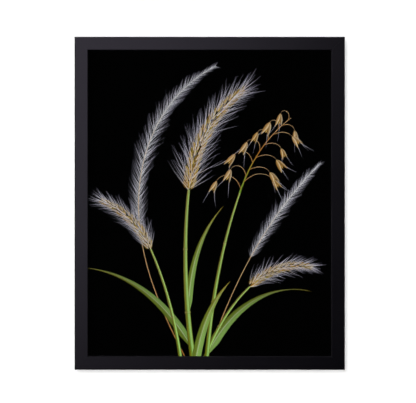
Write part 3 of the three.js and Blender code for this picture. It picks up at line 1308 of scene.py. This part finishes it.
@dataclass(frozen=True)
class Blade:
    """A leaf blade with a pale midrib, which may turn over along its length.

    Attributes:
        course: Where its midrib runs.
        width: Its greatest width.
        depth: Its place in the order of painting.
        turn: How far it turns over, in half turns.
        lit: How bright it is.
        veins: How bright its veins are.
        ribs: Where its veins lie, from the midrib to the edge as shares.
        foot: Its width at the foot, as a share.
        widening: Over what share of its length it would widen from a point.
        point: Above 1, it stays wide for long and narrows late to its point.
        edge_on: How wide it looks edge on, as a share.
        fold: How suddenly the light changes at the midrib.
        halves: How light the shaded half and the lit half are.
        evenness: How far both halves are drawn to one green.
        midrib: The midrib's width, as a share of the blade's.
        midrib_light: How pale the midrib is.
        drying: How far its tip has dried to ochre.
        edge_shade: How much darker its edges are.
    """

    course: Course
    width: float
    depth: float
    turn: float = 0.0
    lit: float = 1.0
    veins: Spread = Spread(0.72, 1.12)
    ribs: tuple[float, ...] = (0.1, 0.22, 0.38, 0.54, 0.7, 0.86, 1.0)
    foot: float = 0.3
    widening: float = 0.16
    point: float = 2.4
    edge_on: float = 0.2
    fold: float = 4.0
    halves: tuple[float, float] = (0.12, 0.9)
    evenness: float = 0.3
    midrib: float = 0.07
    midrib_light: float = 0.6
    drying: float = 0.6
    edge_shade: float = 0.55

    def strokes(self, rng: random.Random) -> Iterator[Stroke]:
        """Draws the blade.

        Args:
            rng: The source of its veins.

        Yields:
            One stroke.
        """
        offs = [-off for off in reversed(self.ribs)] + [0.0, *self.ribs]
        veins = [self.veins.draw(rng) for _ in offs]
        rows, inks = [], []
        for step, (x, y, way) in enumerate(self.course.trace(COURSE_STEPS)):
            share = step / COURSE_STEPS
            body = min(1.0, self.foot + share / self.widening) * (1 - share**self.point)
            facing = math.cos(math.pi * self.turn * share)
            half = self.width / 2 * body * between(self.edge_on, 1, abs(facing))
            rows.append([beside(x, y, way, off * half) for off in offs])
            inks.append([self.ink(off, share, facing, vein) for off, vein in zip(offs, veins)])
        yield Stroke(Part.LEAF, self.depth, rows, inks)

    def ink(self, off: float, share: float, facing: float, vein: float) -> Colour:
        """Picks the ink at a point of the blade.

        Args:
            off: How far right of the midrib it is, as a share of half the width.
            share: How far along the blade it is.
            facing: 1 where the upper side faces the eye, and -1 where the lower side does.
            vein: How bright the vein there is.

        Returns:
            The ink's colour.
        """
        # One half faces the light. The midrib is pale, and the edges are darker.
        side = 0.5 + 0.5 * math.tanh(self.fold * off * facing)
        ink = blend(Tone.OLIVE.light, Tone.GREEN_LIGHT.light, between(*self.halves, side))
        ink = blend(ink, Tone.GREEN.light, self.evenness)
        pale = self.midrib_light * math.exp(-((off / self.midrib) ** 2))
        ink = blend(ink, Tone.CREAM.light, pale)
        ink = blend(ink, Tone.OCHRE.light, self.drying * share**3)
        edge = 1 - self.edge_shade * abs(off) ** 6
        return blend(BLACK, ink, self.lit * vein * edge * between(0.5, 1, abs(facing)))


@dataclass(frozen=True)
class Spike:
    """A nodding foxtail: plump grains in rows, with long bristles that catch the light.

    Attributes:
        course: Where its axis runs.
        radius: From the axis to the grains' tips.
        grains: How many grains it has.
        bristle: Usual length of a bristle.
        depth: Its place in the order of painting.
        slim_foot: How far into its swell the spike starts, as a share.
        fullness: Below 1, its outline is fuller than an arch.
        turn_play: How far a grain sits from its even place round the axis, in radians.
        bristle_play: How far a bristle sits from its grain round the axis, in radians.
        seat: How far out the grains' feet are, as a share of the radius.
        splay: How far a grain at the side leans out, in radians.
        grain_long: A grain's length, as a share of the radius.
        grain_wide: A grain's width, as a share of the radius.
        grain_green: How green a grain is.
        front_over: How much later the front is painted than the middle.
        tip_over: How much later the tip is painted than the foot.
        bristles_each: How many bristles each grain has.
        bristle_long: A bristle's length, as a share of the usual one.
        bristle_lean: A bristle's angle from the axis.
        bristle_bend: How far a bristle bends.
        bristle_return: How far a bristle at the side bends back towards the tip.
        bristle_light: How well a bristle is lit.
        bristle_over: How much later a bristle at the front is painted than its grain.
        hairline: A bristle's width.
        back_light: How bright the back of the spike is.
    """

    course: Course
    radius: float
    grains: int
    bristle: float
    depth: float
    slim_foot: float = 0.14
    fullness: float = 0.5
    turn_play: Spread = Spread(-0.3, 0.3)
    bristle_play: Spread = Spread(-0.6, 0.6)
    seat: float = 0.5
    splay: float = 0.55
    grain_long: Spread = Spread(0.95, 1.2, 0.4)
    grain_wide: Spread = Spread(0.46, 0.56, 0.35)
    grain_green: Spread = Spread(0.0, 0.45)
    front_over: float = 0.4
    tip_over: float = 0.2
    bristles_each: int = 2
    bristle_long: Spread = Spread(0.65, 1.15, 0.25)
    bristle_lean: Spread = Spread(22, 56, 0.35)
    bristle_bend: Spread = Spread(-14, 14)
    bristle_return: float = 12
    bristle_light: Spread = Spread(0.6, 1.0)
    bristle_over: float = 0.3
    hairline: Spread = Spread(0.75, 1.1)
    back_light: float = 0.55

    def light(self, front: float) -> float:
        """Finds how bright a place on the spike is, from -1 at its back to 1 at its front."""
        return between(self.back_light, 1, (1 + front) / 2)

    def strokes(self, rng: random.Random) -> Iterator[Stroke]:
        """Draws the spike.

        Args:
            rng: The source of all that varies from grain to grain.

        Yields:
            A grain, then its bristles, from the spike's foot to its tip.
        """
        trace = self.course.trace(self.grains)
        for index in range(self.grains):
            x, y, way = trace[index]
            share = index / self.grains
            turn = index * GOLDEN_TURN + self.turn_play.draw(rng)
            side, front = math.sin(turn), math.cos(turn)
            # The spike is a little slimmer at its foot, and comes to a point.
            swell = arched(between(self.slim_foot, 1, share), self.fullness)
            root = beside(x, y, way, side * self.radius * self.seat * swell)
            order = self.depth + self.front_over * front + self.tip_over * share
            long = self.grain_long.draw(rng, share) * self.radius
            wide = self.grain_wide.draw(rng, share) * self.radius
            body = blend(Tone.OCHRE.light, Tone.GREEN.light, self.grain_green.draw(rng))
            inks = (Tone.OCHRE_DARK.light, body, Tone.GRAIN_LIGHT.light)
            leaning = way + self.splay * side
            yield Husk(root, leaning, long, wide, inks, self.light(front)).stroke(order)
            for _ in range(self.bristles_each):
                yield self.bristle_at(root, way, order, turn, share, rng)

    def bristle_at(
        self, root: Point, way: float, order: float, turn: float, share: float, rng: random.Random
    ) -> Stroke:
        """Draws one bristle, foreshortened by how far it stands towards or away from the eye.

        Args:
            root: Its foot.
            way: The axis's direction in radians.
            order: The grain's place in the order of painting.
            turn: Where its grain lies round the axis, in radians.
            share: How far along the spike it is.
            rng: The source of its length, angle and tint.

        Returns:
            The stroke.
        """
        turned = turn + self.bristle_play.draw(rng)
        side, front = math.sin(turned), math.cos(turned)
        lean = math.radians(self.bristle_lean.draw(rng, share))
        along, out = math.cos(lean), math.sin(lean)
        heading = math.degrees(way + math.atan2(out * side, along))
        length = self.bristle * self.bristle_long.draw(rng, share) * math.hypot(along, out * side)
        bright = self.light(front) * self.bristle_light.draw(rng)
        inks = silk(blend(Tone.STRAW.light, Tone.HAIR_ROOT.light, rng.random()), bright)
        bend = self.bristle_bend.draw(rng) - self.bristle_return * side * out
        hair = Hair(Course(root, heading, length, bend), self.hairline.draw(rng), inks)
        return hair.stroke(Part.BRISTLE, order + self.bristle_over * front)


@dataclass(frozen=True)
class Plume:
    """A feather-grass awn: a long amber thread with silky hairs down both sides.

    Attributes:
        course: Where the thread runs.
        silk: Greatest length of a hair.
        hairs: How many hairs it has on each side.
        depth: Its place in the order of painting.
        bare: The share of the thread that has no hairs, from its foot.
        thread: The thread's width at its foot.
        thread_over: How much later the thread is painted than a hair in the dark.
        shortest: How long a hair is at least, as a share of the greatest length.
        slim_foot: How far into its swell the silk starts, as a share.
        fullness: Below 1, the silk's outline is fuller than an arch.
        hair_lean: A hair's angle from the thread.
        hair_light: How well a hair is lit.
        light_over: How much later a hair in full light is painted than one in the dark.
        hair_bend: How far a hair bends back along the thread.
        hair_long: A hair's length, as a share of what its place gives.
        hairline: A hair's width.
    """

    course: Course
    silk: float
    hairs: int
    depth: float
    bare: float = 0.3
    thread: float = 1.7
    thread_over: float = 0.3
    shortest: float = 0.3
    slim_foot: float = 0.1
    fullness: float = 0.6
    hair_lean: Spread = Spread(26, 50)
    hair_light: Spread = Spread(0.4, 1.0)
    light_over: float = 0.2
    hair_bend: Spread = Spread(5, 30)
    hair_long: Spread = Spread(0.7, 1.1)
    hairline: Spread = Spread(0.5, 0.78)

    def strokes(self, rng: random.Random) -> Iterator[Stroke]:
        """Draws the awn.

        Args:
            rng: The source of all that varies from hair to hair.

        Yields:
            The hairs, then the thread.
        """
        steps = int(self.hairs / (1 - self.bare))
        for index, (x, y, way) in enumerate(self.course.trace(steps)):
            grown = (index / steps - self.bare) / (1 - self.bare)
            if grown < 0:
                continue
            swell = arched(grown + self.slim_foot, self.fullness)
            long = self.silk * between(self.shortest, 1, swell)
            for side in (-1, 1):
                heading = math.degrees(way) + self.hair_lean.draw(rng) * side
                bright = self.hair_light.draw(rng)
                bend = -side * self.hair_bend.draw(rng)
                course = Course((x, y), heading, long * self.hair_long.draw(rng), bend)
                inks = silk(Tone.HAIR_ROOT.light, bright)
                hair = Hair(course, self.hairline.draw(rng), inks)
                yield hair.stroke(Part.PLUME, self.depth + self.light_over * bright)
        inks = (Tone.AMBER.light, Tone.STRAW.light, Tone.HAIR_ROOT.light)
        thread = Hair(self.course, self.thread, inks, COURSE_STEPS)
        yield thread.stroke(Part.PLUME, self.depth + self.thread_over)


@dataclass(frozen=True)
class Spikelet:
    """A hanging oat spikelet: two papery husks half open, a grain between them, and two long awns.

    Attributes:
        root: Where it hangs from.
        way: Which way it hangs, in radians.
        depth: Its place in the order of painting.
        length: Its length.
        awn: An awn's width at its foot.
        awn_lean: An awn's angle from the spikelet.
        awn_long: An awn's length, as a share of the spikelet's.
        awn_bend: How far an awn bends outwards.
        grain_long: The grain's length, as a share of the spikelet's.
        grain_wide: The grain's width, as a share of the spikelet's length.
        grain_light: How bright the grain is.
        grain_over: How much later the grain is painted than the awns.
        husk_lean: A husk's angle from the spikelet.
        husk_long: A husk's length, as a share of the spikelet's.
        husk_wide: A husk's width, as a share of the spikelet's length.
        husk_apart: How far a husk's foot lies from the spikelet's middle.
        husk_straw: How far the husks are from ochre to straw.
        husk_shade: How lit the husks' shaded edges are.
        husk_light: How bright the left husk and the right husk are.
        husk_over: How much later each of them is painted than the awns.
    """

    root: Point
    way: float
    depth: float
    length: Spread = Spread(19, 24)
    awn: float = 0.8
    awn_lean: Spread = Spread(6, 14)
    awn_long: Spread = Spread(1.7, 2.1)
    awn_bend: Spread = Spread(-10, 30)
    grain_long: float = 0.8
    grain_wide: float = 0.24
    grain_light: float = 0.9
    grain_over: float = 0.1
    husk_lean: Spread = Spread(8, 14)
    husk_long: Spread = Spread(0.92, 1.04)
    husk_wide: Spread = Spread(0.2, 0.25)
    husk_apart: float = 0.6
    husk_straw: Spread = Spread(0.3, 0.8)
    husk_shade: float = 0.45
    husk_light: tuple[float, float] = (0.7, 1.0)
    husk_over: tuple[float, float] = (0.18, 0.32)

    def strokes(self, rng: random.Random) -> Iterator[Stroke]:
        """Draws the spikelet.

        Args:
            rng: The source of its size and tint.

        Yields:
            The awns, then the grain, then the husks.
        """
        long = self.length.draw(rng)
        body = blend(Tone.OCHRE.light, Tone.STRAW.light, self.husk_straw.draw(rng))
        paper = (blend(BLACK, Tone.AMBER.light, self.husk_shade), body, Tone.CREAM.light)
        inks = (Tone.AMBER.light, Tone.HAIR_MID.light, Tone.HAIR_TIP.light)
        for side in (-1, 1):
            heading = math.degrees(self.way) + side * self.awn_lean.draw(rng)
            length = long * self.awn_long.draw(rng)
            course = Course(self.root, heading, length, side * self.awn_bend.draw(rng))
            yield Hair(course, self.awn, inks, AWN_STEPS).stroke(Part.THREAD, self.depth)
        inks = (Tone.OCHRE_DARK.light, Tone.OCHRE.light, Tone.GRAIN_LIGHT.light)
        size = (long * self.grain_long, long * self.grain_wide)
        grain = Husk(self.root, self.way, *size, inks, self.grain_light)
        yield grain.stroke(self.depth + self.grain_over)
        for side, light, over in zip((-1, 1), self.husk_light, self.husk_over):
            leaning = self.way + math.radians(self.husk_lean.draw(rng)) * side
            foot = beside(*self.root, self.way, side * self.husk_apart)
            size = (long * self.husk_long.draw(rng), long * self.husk_wide.draw(rng))
            yield Husk(foot, leaning, *size, paper, light).stroke(self.depth + over)


@dataclass(frozen=True)
class Panicle:
    """A wild-oat head: thin arching branches, each with a spikelet that hangs from its end.

    Attributes:
        course: Where its axis runs.
        reach: Usual length of the lowest branches.
        branches: How many it has.
        depth: Its place in the order of painting.
        axis: The axis's width at its foot.
        twig: A branch's width at its foot.
        branch_long: A branch's length, as a share of the reach.
        fork: A branch's angle from the axis.
        hang: The direction in which a branch ends, either side of straight up.
        arching: Above 1, a branch droops near its end.
        branch_over: How much later a branch is painted than the axis.
        spikelet_over: How much later its spikelet is painted than the branch.
    """

    course: Course
    reach: float
    branches: int
    depth: float
    axis: float = 2.6
    twig: float = 1.1
    branch_long: Spread = Spread(0.8, 1.1, 0.5)
    fork: Spread = Spread(20, 42)
    hang: Spread = Spread(135, 172)
    arching: float = 1.5
    branch_over: Spread = Spread(0.2, 0.8)
    spikelet_over: float = 0.1

    def strokes(self, rng: random.Random) -> Iterator[Stroke]:
        """Draws the head.

        Args:
            rng: The source of all that varies from branch to branch.

        Yields:
            The axis, then each branch with its spikelet.
        """
        inks = (Tone.GREEN.light, Tone.AMBER.light, Tone.STRAW.light)
        yield Hair(self.course, self.axis, inks, COURSE_STEPS).stroke(Part.THREAD, self.depth)
        inks = (Tone.AMBER.light, Tone.STRAW.light, Tone.STRAW.light)
        for index in range(self.branches):
            share = (index + 0.5) / self.branches
            side = 1 if index % 2 else -1
            length = self.reach * self.branch_long.draw(rng, share)
            fork = self.course.branch(share, side * self.fork.draw(rng), length, bend=0)
            droop = side * self.hang.draw(rng) - fork.heading
            arch = Course(fork.start, fork.heading, length, droop, self.arching)
            order = self.depth + self.branch_over.draw(rng)
            yield Hair(arch, self.twig, inks, BRANCH_STEPS).stroke(Part.THREAD, order)
            x, y, way = arch.trace(BRANCH_STEPS)[-1]
            yield from Spikelet((x, y), way, order + self.spikelet_over).strokes(rng)


@dataclass
class Picture:
    """The printed picture: meadow grasses that lean across a black ground, drawn in ink on the paper.

    Attributes:
        lift: From the paper to the first stroke, in metres.
        room: From the first stroke to the last, in metres. It stays clear of the acrylic.
        levels: How many heights the strokes lie at.
        deepest: The depth of the stroke that is painted last, or a little more.
        margin: How far the strokes stay in from the sheet's edges.
        seed: The seed of every random draw.
    """

    lift: float = 0.05 * MM
    room: float = 0.3 * MM
    levels: int = 200
    deepest: float = 9.5
    margin: float = 2
    seed: int = 7

    def plants(self) -> list[Stalk | Blade | Spike | Plume | Panicle]:
        """Lays out the picture.

        Returns:
            Each plant part, with its place.
        """
        tall = Course((-26, FOOT), heading=-8, length=285, bend=14, gather=1.2)
        oat = Course((-6, FOOT), heading=5, length=285, bend=14, gather=1.3)
        left = Course((-46, FOOT), heading=-8, length=195, bend=-16, gather=1.3)
        low = Course((-12, FOOT), heading=20, length=150, bend=26, gather=1.3)
        left_thread = Course((-39.5, -251), heading=-27, length=533, bend=90, gather=1.7)
        right_thread = Course((-8, FOOT), heading=19, length=380, bend=26, gather=1.4)
        left_leaf = tall.branch(0.1, lean=-24, length=235, bend=-58, gather=1.4)
        right_leaf = oat.branch(0.06, lean=24, length=215, bend=76, gather=1.5)
        high_leaf = tall.branch(0.3, lean=8, length=190, bend=40, gather=1.6)
        front_leaf = Course((-24, FOOT), heading=10, length=150, bend=34, gather=1.6)
        left_spike = left.beyond(115, bend=-45, gather=1.1)
        low_spike = low.beyond(110, bend=56, gather=1.1)
        tall_spike = tall.beyond(190, bend=50, gather=1.2)
        oat_head = oat.beyond(150, bend=34, gather=1.2)
        return [
            Plume(left_thread, silk=32, hairs=190, depth=0.0, bare=0.38),
            Plume(right_thread, silk=24, hairs=120, depth=0.5, bare=0.5),
            Blade(left_leaf, width=15, depth=1.0, turn=0.5, lit=0.75),
            Blade(right_leaf, width=17, depth=1.2, turn=0.6, lit=0.8),
            Stalk(left, foot=6.5, head=3.0, depth=2.0, knots=(0.4,)),
            Spike(left_spike, radius=8.5, grains=105, bristle=34, depth=2.6),
            Stalk(low, foot=6.5, head=3.0, depth=3.4, knots=(0.45,)),
            Spike(low_spike, radius=8.5, grains=100, bristle=32, depth=4.0),
            Stalk(oat, foot=7.5, head=2.8, depth=4.8, knots=(0.36, 0.7)),
            Panicle(oat_head, reach=52, branches=13, depth=5.2),
            Blade(high_leaf, width=12, depth=6.4, turn=0.35, lit=0.9),
            Stalk(tall, foot=10.0, head=4.2, depth=6.8, knots=(0.3, 0.66)),
            Spike(tall_spike, radius=11.5, grains=160, bristle=52, depth=7.6),
            Blade(front_leaf, width=15, depth=8.6, turn=0.25, lit=1.0),
        ]

    def strokes(self) -> list[Stroke]:
        """Draws the picture.

        Returns:
            Every stroke that lies on the sheet, in the order of painting.
        """
        rng = random.Random(self.seed)
        low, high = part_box("print")
        half_width = (high.x - low.x) / 2 / MM - self.margin
        half_height = (high.z - low.z) / 2 / MM - self.margin
        drawn = [stroke for plant in self.plants() for stroke in plant.strokes(rng)]
        trimmed = [stroke.trimmed(half_width, half_height) for stroke in drawn]
        kept = [stroke for stroke in trimmed if len(stroke.rows) > 1]
        return sorted(kept, key=lambda stroke: stroke.depth)

    def build(self) -> None:
        """Builds a piece for each part of the plants."""
        strokes = self.strokes()
        ink = PigmentInk("pigment_ink_on_lustre_paper").material()
        for part in sorted(Part, key=lambda part: part.value):
            self.build_part(part, [stroke for stroke in strokes if stroke.part == part], ink)

    def build_part(self, part: Part, strokes: list[Stroke], ink: bpy.types.Material) -> None:
        """Builds the strokes of one part as a piece.

        Args:
            part: The part.
            strokes: Its strokes, in the order of painting.
            ink: The material.
        """
        name = f"printed_{part.value}"
        mesh = self.inked_mesh(name, strokes)
        self.map_flat(mesh)
        mesh.materials.append(ink)
        piece = add_object(name, mesh)
        # The strokes lie almost in one plane, and would shade each other.
        piece.visible_shadow = False
        add_piece(piece, Slot.PAPER)

    def inked_mesh(self, name: str, strokes: list[Stroke]) -> bpy.types.Mesh:
        """Lays strokes over the paper as a mesh that holds their inks.

        Args:
            name: The mesh's name.
            strokes: The strokes, in the order of painting.

        Returns:
            The mesh.
        """
        low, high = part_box("print")
        middle = (low + high) / 2
        sight_middle = (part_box("rail_top")[0].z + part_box("rail_bottom")[1].z) / 2
        points, faces, colours = [], [], []
        for stroke in strokes:
            level = round(stroke.depth / self.deepest * self.levels) / self.levels
            y = low.y - self.lift - self.room * level
            width = len(stroke.rows[0])
            first = len(points)
            for row, inks in zip(stroke.rows, stroke.inks):
                points += [(middle.x + x * MM, y, sight_middle + z * MM) for x, z in row]
                colours += inks
            for row in range(len(stroke.rows) - 1):
                for column in range(width - 1):
                    corner = first + row * width + column
                    faces.append((corner, corner + 1, corner + width + 1, corner + width))
        mesh = bpy.data.meshes.new(name)
        mesh.from_pydata(points, [], faces)
        drawn = mesh.attributes.new("ink", "FLOAT_COLOR", "POINT")
        drawn.data.foreach_set("color", [share for colour in colours for share in colour])
        return mesh

    def map_flat(self, mesh: bpy.types.Mesh) -> None:
        """Maps a mesh flat, by each point's place on the whole sheet.

        Args:
            mesh: The mesh.
        """
        low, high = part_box("print")
        flat = mesh.uv_layers.new(name="OFBake")
        for loop, place in zip(mesh.loops, flat.data):
            at = mesh.vertices[loop.vertex_index].co
            place.uv = ((at.x - low.x) / (high.x - low.x), (at.z - low.z) / (high.z - low.z))


# ------------------------------------------------------------------------------------- the studio


@dataclass(frozen=True)
class Sun:
    """A distant soft light that matt surfaces see and mirrors don't.

    Attributes:
        name: Its name.
        way: Which way its light travels.
        strength: Its strength.
        width: How wide it looks, in degrees.
    """

    name: str
    way: tuple[float, float, float]
    strength: float
    width: float

    def add(self) -> bpy.types.Object:
        """Adds the light.

        Returns:
            The light.
        """
        data = bpy.data.lights.new(self.name, "SUN")
        data.energy = self.strength
        data.angle = math.radians(self.width)
        sun = add_object(self.name, data)
        sun.rotation_mode = "QUATERNION"
        sun.rotation_quaternion = Vector(self.way).to_track_quat("-Z", "Y")
        sun.visible_glossy = False
        return sun


@dataclass(frozen=True)
class Softbox:
    """A softbox that faces the frame's middle.

    Attributes:
        name: Its name.
        place: Where it stands, from the frame's middle.
        size: Its width and height.
        power: Its power in watts.
        mirrored: Whether glossy surfaces mirror it.
        colour: Its tint.
    """

    name: str
    place: tuple[float, float, float]
    size: Point
    power: float
    mirrored: bool = True
    colour: tuple[float, float, float] = (1.0, 1.0, 1.0)

    def add(self, middle: Vector) -> bpy.types.Object:
        """Adds the light.

        Args:
            middle: The frame's middle.

        Returns:
            The light.
        """
        data = bpy.data.lights.new(self.name, "AREA")
        data.shape = "RECTANGLE"
        data.size, data.size_y = self.size
        data.energy = self.power
        data.color = self.colour
        box = add_object(self.name, data)
        box.location = middle + Vector(self.place)
        box.rotation_mode = "QUATERNION"
        box.rotation_quaternion = (-Vector(self.place)).to_track_quat("-Z", "Y")
        box.visible_camera = False
        box.visible_glossy = self.mirrored
        return box


@dataclass
class Studio:
    """The wall that the frame hangs on, a pale floor, soft light and the camera.

    Attributes:
        lens: The camera's focal length in millimetres.
        sensor: The camera's sensor width in millimetres.
        view_width: How much width the view takes in at the frame's front face.
        aim_left: How far left of the frame's middle the camera stands.
        aim_up: How far above the frame's middle the camera stands.
        reach: Half the width of the floor and the wall.
        floor_drop: From the frame's bottom edge to the floor.
        wall_behind: How far the wall's face lies behind the hanger's back.
        backdrop: How bright the world is to look at, a little past white.
        fill: How bright it is to matt surfaces.
        glow_left: How bright mirrors see the world to the left.
        glow_behind: How bright mirrors see it behind the wall.
        glow_from: How far to that side a direction points where the glow starts.
        glow_full: How far it points where the glow is full.
        key: Throws the slim shadow right of the frame and under it.
        frontal_fill: Lightens that shadow.
        overhead: Lights the floor and the frame's top.
        sheen: Stands upper left, and puts the sheen on the moulding's face.
        right_side: Puts a sheen on the moulding's right side.
        back_left: Lights the back.
        back_right: Lights the back from the other side.
        back_gleam: Puts a gleam on the metal and the hardboard.
    """

    lens: float = 135
    sensor: float = 36
    view_width: float = 0.6728
    aim_left: float = 0.0028
    aim_up: float = 0.0029
    reach: float = 9.0
    floor_drop: float = 0.55
    wall_behind: float = 0.4 * MM
    backdrop: float = 1.3
    fill: float = 0.1
    glow_left: float = 0.1
    glow_behind: float = 0.4
    glow_from: float = 0.3
    glow_full: float = 0.8
    key: Sun = Sun("key", way=(0.2199, 1.0, -0.2382), strength=1.39, width=17.0)
    frontal_fill: Sun = Sun("frontal_fill", way=(0.0, 1.0, 0.0), strength=1.69, width=0.5)
    overhead: Sun = Sun("overhead", way=(0.0, 0.0, -1.0), strength=2.9, width=12.0)
    sheen: Softbox = Softbox(
        "sheen", place=(-0.526, -0.603, 0.546), size=(1.765, 2.21), power=13.9, colour=(0.87, 0.79, 1.0)
    )
    right_side: Softbox = Softbox("right_side", place=(2.5, -0.3, 0.5), size=(0.9, 1.4), power=6.0)
    back_left: Softbox = Softbox(
        "back_left", place=(1.5, 1.9, 1.0), size=(1.2, 1.2), power=45.0, mirrored=False
    )
    back_right: Softbox = Softbox(
        "back_right", place=(-1.6, 1.7, 0.4), size=(1.2, 1.2), power=25.0, mirrored=False
    )
    back_gleam: Softbox = Softbox("back_gleam", place=(0.6, 2.4, 1.3), size=(1.6, 1.0), power=30.0)

    def __post_init__(self) -> None:
        """Reads where the frame is."""
        low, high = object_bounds()
        self.front = low.y
        self.middle = (low + high) / 2
        self.floor_height = low.z - self.floor_drop

    def build(self) -> None:
        """Builds the studio round the frame."""
        self.add_camera()
        self.add_world()
        self.add_lights(self.add_wall(), self.add_floor())
        bpy.context.scene.view_settings.view_transform = "Standard"

    def add_camera(self) -> None:
        """Sets the camera square to the picture."""
        data = bpy.data.cameras.new("camera")
        data.lens = self.lens
        data.sensor_width = self.sensor
        camera = add_object("camera", data)
        distance = self.view_width * self.lens / self.sensor
        aim = Vector((-self.aim_left, 0, self.aim_up))
        camera.location = Vector((self.middle.x, self.front - distance, self.middle.z)) + aim
        camera.rotation_euler = (math.pi / 2, 0, 0)
        bpy.context.scene.camera = camera

    def add_plane(self, name: str, corners: list[Vector], finish: Finish) -> bpy.types.Object:
        """Adds a flat stage piece that matt and glossy surfaces don't see.

        Args:
            name: Its name.
            corners: Its corners, anticlockwise as seen from its front.
            finish: Its finish.

        Returns:
            The object.
        """
        mesh = bpy.data.meshes.new(name)
        mesh.from_pydata(corners, [], [range(len(corners))])
        mesh.materials.append(finish.material())
        plane = add_object(name, mesh)
        plane.visible_diffuse = False
        plane.visible_glossy = False
        plane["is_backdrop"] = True
        return plane

    def add_wall(self) -> bpy.types.Object:
        """Adds the wall, which shows from the front and casts no shadow on what is behind it.

        Returns:
            The wall.
        """
        rows = ((-1, self.floor_height), (1, self.floor_height), (1, self.reach), (-1, self.reach))
        corners = [Vector((side * self.reach, self.wall_behind, height)) for side, height in rows]
        paint = StudioPaint("white_wall_emulsion", tuple(self.middle), "#ffffff")
        wall = self.add_plane("studio_wall", corners, paint)
        wall.visible_transmission = False
        wall.visible_shadow = False
        return wall

    def add_floor(self) -> bpy.types.Object:
        """Adds the floor.

        Returns:
            The floor.
        """
        rows = ((-1, -1), (1, -1), (1, 1), (-1, 1))
        corners = [Vector((x * self.reach, y * self.reach, self.floor_height)) for x, y in rows]
        middle = (self.middle.x, self.middle.y, self.floor_height)
        paint = StudioPaint("pale_floor_emulsion", middle, "#f4f4f2")
        return self.add_plane("studio_floor", corners, paint)

    def add_world(self) -> None:
        """Makes a world that is white to look at and a weak fill on matt surfaces.

        Mirrors see it dark in front, with a pale glow to the left and behind, as of a lit room.
        """
        world = bpy.data.worlds.new("studio")
        world.use_nodes = True
        tree = world.node_tree
        tree.nodes.clear()
        path = add_node(tree, "LightPath")
        way = add_node(tree, "SeparateXYZ", {0: add_node(tree, "TexCoord").outputs["Generated"]})
        soft = {"interpolation_type": "SMOOTHSTEP"}
        left_ends = {"From Min": -self.glow_from, "From Max": -self.glow_full}
        left_ends["To Max"] = self.glow_left
        left = add_node(tree, "MapRange", {"Value": way.outputs["X"], **left_ends}, **soft)
        behind_ends = {"From Min": self.glow_from, "From Max": self.glow_full}
        behind_ends["To Max"] = self.glow_behind
        behind = add_node(tree, "MapRange", {"Value": way.outputs["Y"], **behind_ends}, **soft)
        glow = add_node(tree, "Math", {0: left, 1: behind}, operation="ADD")
        seen = add_node(tree, "Background", {"Color": WHITE, "Strength": self.backdrop})
        fill = add_node(tree, "Background", {"Color": WHITE, "Strength": self.fill})
        mirror = add_node(tree, "Background", {"Color": WHITE, "Strength": glow})
        unseen = add_node(tree, "MixShader", {0: path.outputs["Is Glossy Ray"], 1: fill, 2: mirror})
        both = add_node(tree, "MixShader", {0: path.outputs["Is Camera Ray"], 1: unseen, 2: seen})
        add_node(tree, "OutputWorld", {"Surface": both})
        bpy.context.scene.world = world

    def light_only(self, light: bpy.types.Object, *lit: bpy.types.Object) -> None:
        """Makes a light fall on the given objects alone.

        Args:
            light: The light.
            lit: The objects.
        """
        group = bpy.data.collections.new(f"{light.name}_lit")
        for item in lit:
            group.objects.link(item)
        light.light_linking.receiver_collection = group

    def light_all_but(self, light: bpy.types.Object, *unlit: bpy.types.Object) -> None:
        """Keeps a light off the given objects.

        Args:
            light: The light.
            unlit: The objects.
        """
        self.light_only(light, *unlit)
        for item in light.light_linking.receiver_collection.collection_objects:
            item.light_linking.link_state = "EXCLUDE"

    def add_lights(self, wall: bpy.types.Object, floor: bpy.types.Object) -> None:
        """Adds the lights.

        Args:
            wall: The wall, which only the two frontal lights reach.
            floor: The floor, which only the three suns reach.
        """
        pieces = list(bpy.data.objects)
        rails = [piece for piece in pieces if piece.name.startswith("moulding_")]
        metal = [piece for piece in pieces if piece.name.endswith("_bright")]
        self.key.add()
        self.frontal_fill.add()
        self.light_all_but(self.overhead.add(), wall)
        self.light_only(self.sheen.add(self.middle), *rails)
        self.light_only(self.right_side.add(self.middle), *rails)
        self.light_all_but(self.back_left.add(self.middle), wall, floor)
        self.light_all_but(self.back_right.add(self.middle), wall, floor)
        hardboard = frame["nodes"]["backing_board"]
        self.light_only(self.back_gleam.add(self.middle), *metal, hardboard)
        # The bare wood and the hardboard would throw a warm tint on the wall.
        for piece in (*rails, hardboard):
            piece.visible_diffuse = False


def main() -> None:
    """Builds the framed print and its studio."""
    logging.basicConfig(level=logging.INFO, format="%(name)s: %(message)s")
    Moulding().build()
    Fixings().build()
    FeltBumpers().build()
    Sheets().build()
    Picture().build()
    Studio().build()


if __name__ == "__main__":
    main()
